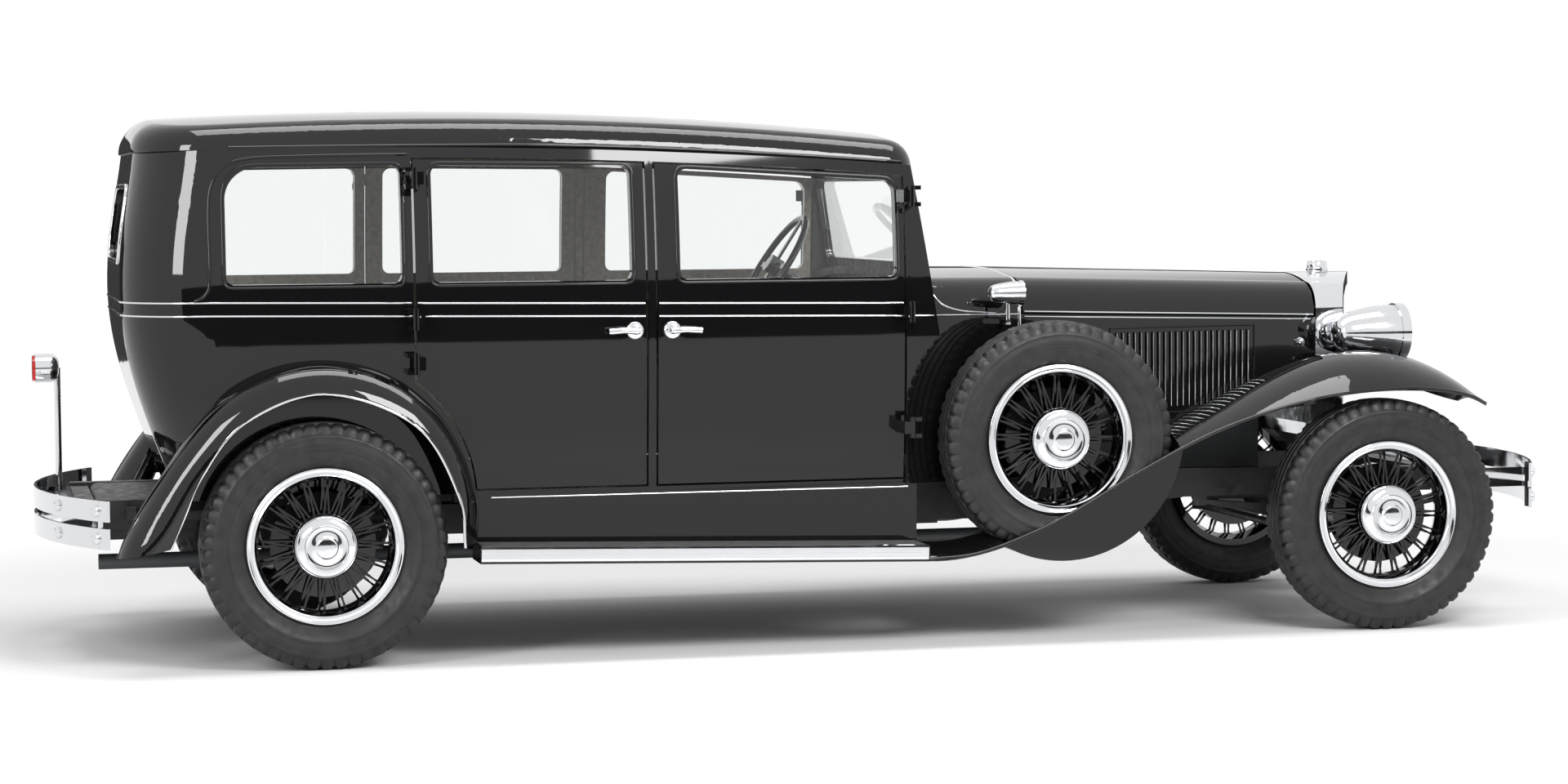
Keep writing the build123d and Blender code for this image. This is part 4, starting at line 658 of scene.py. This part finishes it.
# Wing beads
FRONT_LIP = (
    (2.016, 0.858, 0.300), (2.210, 0.858, 0.322), (2.480, 0.858, 0.424), (2.775, 0.858, 0.585),
    (3.070, 0.858, 0.722), (3.400, 0.858, 0.812), (3.700, 0.858, 0.840), (3.880, 0.852, 0.830),
    (3.990, 0.834, 0.806), (4.060, 0.792, 0.778),
)
REAR_LIP = (
    (-14, 0.462), (8, 0.432), (45, 0.412), (90, 0.400), (130, 0.404), (160, 0.420), (178, 0.452), (190, 0.506),
)
REAR_CROWN = (
    (-14, 0.500), (8, 0.490), (45, 0.486), (90, 0.484), (130, 0.488), (160, 0.520), (178, 0.596), (190, 0.672),
)
REAR_WING_Z = 0.5


def round_wing(stations, y):
    """Smooth line round the rear wing from (angle, radius) points."""
    points = []
    for angle, radius in stations:
        turn = math.radians(angle)
        points.append((REAR_AXLE_X + radius * math.cos(turn), y, REAR_WING_Z + radius * math.sin(turn)))
    return smooth_path(points, 10)


for side, hand in HANDS:
    front_lip = smooth_path([(REAR_AXLE_X + x, side * (y - 0.004), z + 0.002) for x, y, z in FRONT_LIP], 10)
    rear_lip = round_wing(REAR_LIP, side * 0.858)
    out = Vector((0, side, 0))
    front_bead = front_lip, [out] * len(front_lip)
    rear_bead = rear_lip, [out] * len(rear_lip)
    bead(f"front_wing_bead_{hand}", [front_bead], 0.010, 0.004, paint, "car")
    bead(f"rear_wing_bead_{hand}", [rear_bead], 0.010, 0.004, chrome, "car")
    crown = round_wing(REAR_CROWN, side * 0.800)
    ups = [Vector((point.x - REAR_AXLE_X, 0, point.z - REAR_WING_Z)).normalized() for point in crown]
    bead(f"rear_wing_crown_{hand}", [(crown, ups)], 0.012, 0.004, paint, "car")

# Running boards: ribbed mat and bright edge
BOARD = ((0.497, 0.388), (2.016, 0.349))
MAT_INNER_Y = 0.700
MAT_PITCH = 0.008
MAT_RIBS = 19
RIB_PROFILE = ((0.0, 0.0008), (0.0015, 0.0036), (0.0045, 0.0036), (0.006, 0.0008))
EDGE_PROFILE = (
    (0.850, 0.0030), (0.856, 0.0035), (0.8600, 0.0010), (0.8605, -0.0060), (0.8592, -0.0080),
    (0.8605, -0.0100), (0.8605, -0.0200), (0.8592, -0.0220), (0.8605, -0.0240), (0.8605, -0.0340),
    (0.8592, -0.0360), (0.8605, -0.0380), (0.8600, -0.0450), (0.8570, -0.0480),
)
MAT_PROFILE = []
for number in range(MAT_RIBS):
    MAT_PROFILE += [(MAT_INNER_Y + MAT_PITCH * number + y, height) for y, height in RIB_PROFILE]


def along_board(name, profile, inset, side, kind, sharp):
    """A strip of (y, height) section along a running board, short of both its ends."""
    rear, front = [Vector((REAR_AXLE_X + x, 0, z)) for x, z in BOARD]
    along = (front - rear).normalized()
    up = Vector((-along.z, 0, along.x))
    rings = []
    for end, shift in ((rear, inset), (front, -inset)):
        rings.append([end + along * shift + Vector((0, side * y, 0)) + up * height for y, height in profile])
    bm = bmesh.new()
    skin_rings(bm, rings, around=False)
    return finish_piece(name, bm, kind, "car", sharp=sharp)


SILL_LINE_Z = 0.535
for side, hand in HANDS:
    along_board(f"step_mat_{hand}", MAT_PROFILE, 0.012, side, ribbed_rubber, 20)
    along_board(f"step_edge_{hand}", EDGE_PROFILE, 0.004, side, chrome, 25)
    stations = run(C_POST + 0.25, A_POST, 30)
    sill_line = side_line(f"running_board_{hand}", [(x, SILL_LINE_Z) for x in stations], side)
    bead(f"sill_line_{hand}", [sill_line], 0.006, 0.003, chrome, "car")


# Door handles
HANDLE_Y = 0.712
HANDLE_Z = 1.081
HANDLE_PLATE = (
    (0.030, -0.002), (0.030, 0.010), (0.026, 0.014), (0.016, 0.017),
    (0.013, 0.030), (0.012, 0.046), (0.007, 0.050), (0.0, 0.051),
)
HANDLE_LINE = (
    (-0.12, 0.040, 0.0), (0.15, 0.0445, 0.0), (0.45, 0.045, 0.002),
    (0.80, 0.0445, 0.0), (1.06, 0.0435, -0.001),
)


def handle(name, pivot_x, reach, side, body):
    """Curved lever with an oval plate, over the plain lever of the door."""
    bm = bmesh.new()
    seat = Vector((pivot_x, side * HANDLE_Y, HANDLE_Z))
    out = Vector((0, side, 0))
    lathe(bm, HANDLE_PLATE, seat, out, 40)
    line = smooth_path([seat + Vector((reach * share, side * y, z)) for share, y, z in HANDLE_LINE], 6)
    rings = bead_rings(line, [out] * len(line), 0.021, 0.0085, 14)
    skin_rings(bm, rings)
    return finish_piece(name, bm, chrome, body, sharp=60)


for side, hand in HANDS:
    handle(f"handle_rear_{hand}", REAR_AXLE_X + 1.042, -0.088, side, f"door_rear_{hand}")
    handle(f"handle_front_{hand}", REAR_AXLE_X + 1.169, 0.088, side, f"door_front_{hand}")


# Upholstery
def cushion(name, corner, wide, deep, thick, pleats):
    """A padded, pleated cushion on three edge vectors from one lower corner."""
    corner, wide, deep, thick = Vector(corner), Vector(wide), Vector(deep), Vector(thick)
    across, length = 12 * pleats, 26
    bm = bmesh.new()
    upper, lower = [], []
    for i in range(across + 1):
        u = i / across
        row_up, row_low = [], []
        for j in range(length + 1):
            v = j / length
            edge_u = max(0.0, 1 - abs(2 * u - 1) ** 10)
            edge_v = max(0.0, 1 - abs(2 * v - 1) ** 7)
            crown = (edge_u * edge_v) ** 0.4
            pleat = 1 - 0.10 * (1 - abs(math.sin(math.pi * pleats * u)) ** 0.5)
            base = corner + wide * u + deep * v
            inset = 0.012 * (1 - crown)
            base += wide.normalized() * inset * (1 if u < 0.5 else -1)
            base += deep.normalized() * inset * (1 if v < 0.5 else -1)
            row_up.append(bm.verts.new(base + thick * (0.45 + 0.55 * crown * pleat)))
            row_low.append(bm.verts.new(base + thick * (0.45 - 0.45 * min(1, crown * 1.2))))
        upper.append(row_up)
        lower.append(row_low)
    for rows in (upper, lower):
        for a, b in zip(rows, rows[1:]):
            for j in range(length):
                bm.faces.new((a[j], a[j + 1], b[j + 1], b[j]))
    for j in range(length):
        for i in (0, across):
            bm.faces.new((upper[i][j], upper[i][j + 1], lower[i][j + 1], lower[i][j]))
    for i in range(across):
        for j in (0, length):
            bm.faces.new((upper[i][j], upper[i + 1][j], lower[i + 1][j], lower[i][j]))
    piece = finish_piece(name, bm, cloth, "car", sharp=75)
    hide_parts("seats")
    return piece


def seat_plinth(name, low, high):
    """Upholstered base under a cushion, with softened edges."""
    bm = bmesh.new()
    bmesh.ops.create_cube(bm, size=1)
    size = Vector(high) - Vector(low)
    bmesh.ops.scale(bm, vec=size, verts=bm.verts)
    bmesh.ops.translate(bm, vec=(Vector(low) + Vector(high)) / 2, verts=bm.verts)
    bmesh.ops.bevel(bm, geom=bm.edges[:], offset=0.012, segments=3, affect="EDGES")
    piece = finish_piece(name, bm, cloth, "car")
    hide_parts("seats")
    return piece


SEAT_HALF = 0.587
SEAT_WIDE = (0, 2 * SEAT_HALF, 0)
PLEATS = 12
for name, back, base, cushion_top, squab_top, length in (
    ("front", 1.110, 0.545, 0.830, 1.190, 0.590),
    ("rear", -0.366, 0.670, 0.880, 1.200, 0.640),
):
    x = REAR_AXLE_X + back
    seat_plinth(
        f"{name}_seat_plinth",
        (x + 0.02, -0.585, base + 0.002), (x + length - 0.015, 0.585, cushion_top - 0.14),
    )
    cushion(
        f"{name}_seat_cushion", (x + 0.125, -SEAT_HALF, cushion_top - 0.145), SEAT_WIDE,
        (length - 0.128, 0, 0.008), (0, 0, 0.150), PLEATS,
    )
    cushion(
        f"{name}_seat_squab", (x + 0.010, -SEAT_HALF, cushion_top - 0.120), SEAT_WIDE,
        (-0.065, 0, squab_top - cushion_top + 0.118), (0.130, 0, 0.020), PLEATS,
    )

# Instruments
DASH_X = A_POST + 0.012
DIAL_Z = 1.133
DIALS = ((0.10, 0.042), (0.0, 0.034), (-0.10, 0.042), (0.20, 0.028), (-0.20, 0.028))
BEZEL = ((0.0, 0.0), (0.0, 0.006), (0.003, 0.009), (0.007, 0.006), (0.008, 0.002))
bezels = bmesh.new()
dials = bmesh.new()
for y, radius in DIALS:
    seat = Vector((DASH_X, y, DIAL_Z))
    lathe(bezels, [(radius - inset, along) for inset, along in BEZEL], seat, (-1, 0, 0), 40)
    lathe(dials, ((radius - 0.006, 0.003), (radius * 0.5, 0.0035), (0.0, 0.004)), seat, (-1, 0, 0), 40)
finish_piece("dial_bezels", bezels, chrome, "car")
finish_piece("dial_faces", dials, dial_face, "car")

# Radiator cap and bumper bolts
RADIATOR_CAP_X = REAR_AXLE_X + 3.868 - 0.120
RADIATOR_CAP = (
    (0.037, 1.229), (0.040, 1.233), (0.040, 1.240), (0.036, 1.243),
    (0.0355, 1.262), (0.033, 1.2665), (0.020, 1.2690), (0.0, 1.2700),
)
bm = bmesh.new()
lathe(bm, RADIATOR_CAP, Vector((RADIATOR_CAP_X, 0, 0)), (0, 0, 1), 48)
finish_piece("radiator_cap", bm, chrome, "car")

BOLT_PROFILE = ((0.020, -0.004), (0.020, 0.004), (0.016, 0.009), (0.008, 0.012), (0.0, 0.0125))
BOLT_YS = (-0.668, -0.42, 0.42, 0.668)
BOLT_ZS = (0.436, 0.526)
BUMPER_TIP = 2.669
BUMPER_HALF = 0.720
for name, direction, bow in (("front", 1, 0.170), ("rear", -1, 0.211)):
    bm = bmesh.new()
    radius = (BUMPER_HALF ** 2 + bow ** 2) / (2 * bow)
    for y in BOLT_YS:
        x = direction * (BUMPER_TIP - radius + math.sqrt(radius ** 2 - y ** 2))
        for z in BOLT_ZS:
            lathe(bm, BOLT_PROFILE, Vector((x, y, z)), Vector((direction, y / radius, 0)), 28)
    finish_piece(f"{name}_bumper_bolts", bm, chrome, "car")

# Floor, light and camera
floor_mesh = bpy.data.meshes.new("studio_floor")
bm = bmesh.new()
bmesh.ops.create_grid(bm, x_segments=1, y_segments=1, size=60)
bm.to_mesh(floor_mesh)
bm.free()
floor = bpy.data.objects.new("studio_floor", floor_mesh)
bpy.context.scene.collection.objects.link(floor)
floor_paint = material("studio_floor", (0.86, 0.86, 0.86), roughness=0.9)
floor_mesh.materials.append(floor_paint)


def seen_rays(tree):
    """1 for rays from the camera, mirrors and glass, else 0."""
    path = tree.nodes.new("ShaderNodeLightPath")
    first = tree.nodes.new("ShaderNodeMath")
    first.operation = "MAXIMUM"
    both = tree.nodes.new("ShaderNodeMath")
    both.operation = "MAXIMUM"
    tree.links.new(path.outputs["Is Camera Ray"], first.inputs[0])
    tree.links.new(path.outputs["Is Glossy Ray"], first.inputs[1])
    tree.links.new(first.outputs["Value"], both.inputs[0])
    tree.links.new(path.outputs["Is Transmission Ray"], both.inputs[1])
    return both.outputs["Value"]


tree = floor_paint.node_tree
place = tree.nodes.new("ShaderNodeTexCoord")
reach = tree.nodes.new("ShaderNodeVectorMath")
reach.operation = "LENGTH"
fade = tree.nodes.new("ShaderNodeMapRange")
fade.interpolation_type = "SMOOTHSTEP"
fade.inputs["From Min"].default_value = 2.6
fade.inputs["From Max"].default_value = 4.6
seen = tree.nodes.new("ShaderNodeMath")
seen.operation = "MULTIPLY"
white = tree.nodes.new("ShaderNodeEmission")
mix = tree.nodes.new("ShaderNodeMixShader")
tree.links.new(place.outputs["Object"], reach.inputs[0])
tree.links.new(reach.outputs["Value"], fade.inputs["Value"])
tree.links.new(fade.outputs["Result"], seen.inputs[0])
tree.links.new(seen_rays(tree), seen.inputs[1])
tree.links.new(seen.outputs["Value"], mix.inputs["Fac"])
tree.links.new(tree.nodes["Principled BSDF"].outputs["BSDF"], mix.inputs[1])
tree.links.new(white.outputs["Emission"], mix.inputs[2])
tree.links.new(mix.outputs["Shader"], tree.nodes["Material Output"].inputs["Surface"])

CARD_REACH = 12
CARD_Y = 15
CARD_LOW = 0.02
CARD_HIGH = 2.4
for side, hand in HANDS:
    card_mesh = bpy.data.meshes.new(f"dark_card_{hand}")
    bm = bmesh.new()
    outline = (
        (-CARD_REACH, CARD_LOW), (CARD_REACH, CARD_LOW),
        (CARD_REACH, CARD_HIGH), (-CARD_REACH, CARD_HIGH),
    )
    corners = [bm.verts.new((x, side * CARD_Y, z)) for x, z in outline]
    bm.faces.new(corners)
    bm.to_mesh(card_mesh)
    bm.free()
    card = bpy.data.objects.new(f"dark_card_{hand}", card_mesh)
    bpy.context.scene.collection.objects.link(card)
    card_mesh.materials.append(satin)
    card.visible_camera = False
    card.visible_diffuse = False
    card.visible_transmission = False
    card.visible_shadow = False

world = bpy.data.worlds.new("studio")
bpy.context.scene.world = world
world.use_nodes = True
tree = world.node_tree
sky = tree.nodes["Background"]
sky.inputs["Color"].default_value = (1, 1, 1, 1)
sky.inputs["Strength"].default_value = 0.55
shown = tree.nodes.new("ShaderNodeBackground")
shown.inputs["Color"].default_value = (1, 1, 1, 1)
shown.inputs["Strength"].default_value = 1.0
mix = tree.nodes.new("ShaderNodeMixShader")
tree.links.new(seen_rays(tree), mix.inputs["Fac"])
tree.links.new(sky.outputs["Background"], mix.inputs[1])
tree.links.new(shown.outputs["Background"], mix.inputs[2])
tree.links.new(mix.outputs["Shader"], tree.nodes["World Output"].inputs["Surface"])


def area_light(name, place, target, width, height, power):
    """A soft box aimed at a point."""
    light = bpy.data.lights.new(name, "AREA")
    light.shape = "RECTANGLE"
    light.size = width
    light.size_y = height
    light.energy = power
    lamp = bpy.data.objects.new(name, light)
    bpy.context.scene.collection.objects.link(lamp)
    lamp.location = place
    lamp.rotation_euler = (Vector(target) - Vector(place)).to_track_quat("-Z", "Y").to_euler()


area_light("key_box", (1.6, -5.5, 4.2), (0.4, 0, 0.9), 3.0, 1.6, 260)
area_light("top_box", (0.0, -0.5, 5.5), (0, 0, 0), 6.0, 2.0, 220)
area_light("rear_box", (-5.0, -4.0, 3.0), (-1.8, 0, 1.0), 1.2, 2.4, 120)

CAMERA_PLACE = (-2.935, -12.074, 1.548)
YAW, PITCH, ROLL = math.radians(13.45), math.radians(-3.34), math.radians(-0.4)
camera_data = bpy.data.cameras.new("camera")
camera_data.sensor_width = 36
camera_data.lens = 80.06
camera = bpy.data.objects.new("camera", camera_data)
bpy.context.scene.collection.objects.link(camera)
bpy.context.scene.camera = camera
ahead = Vector((math.sin(YAW) * math.cos(PITCH), math.cos(YAW) * math.cos(PITCH), math.sin(PITCH)))
right = Vector((math.cos(YAW), -math.sin(YAW), 0))
over = right.cross(ahead)
turned_right = right * math.cos(ROLL) + over * math.sin(ROLL)
turned_over = over * math.cos(ROLL) - right * math.sin(ROLL)
pose = Matrix((turned_right, turned_over, -ahead)).transposed().to_4x4()
pose.translation = CAMERA_PLACE
camera.matrix_world = pose

bpy.context.scene.view_settings.view_transform = "Standard"
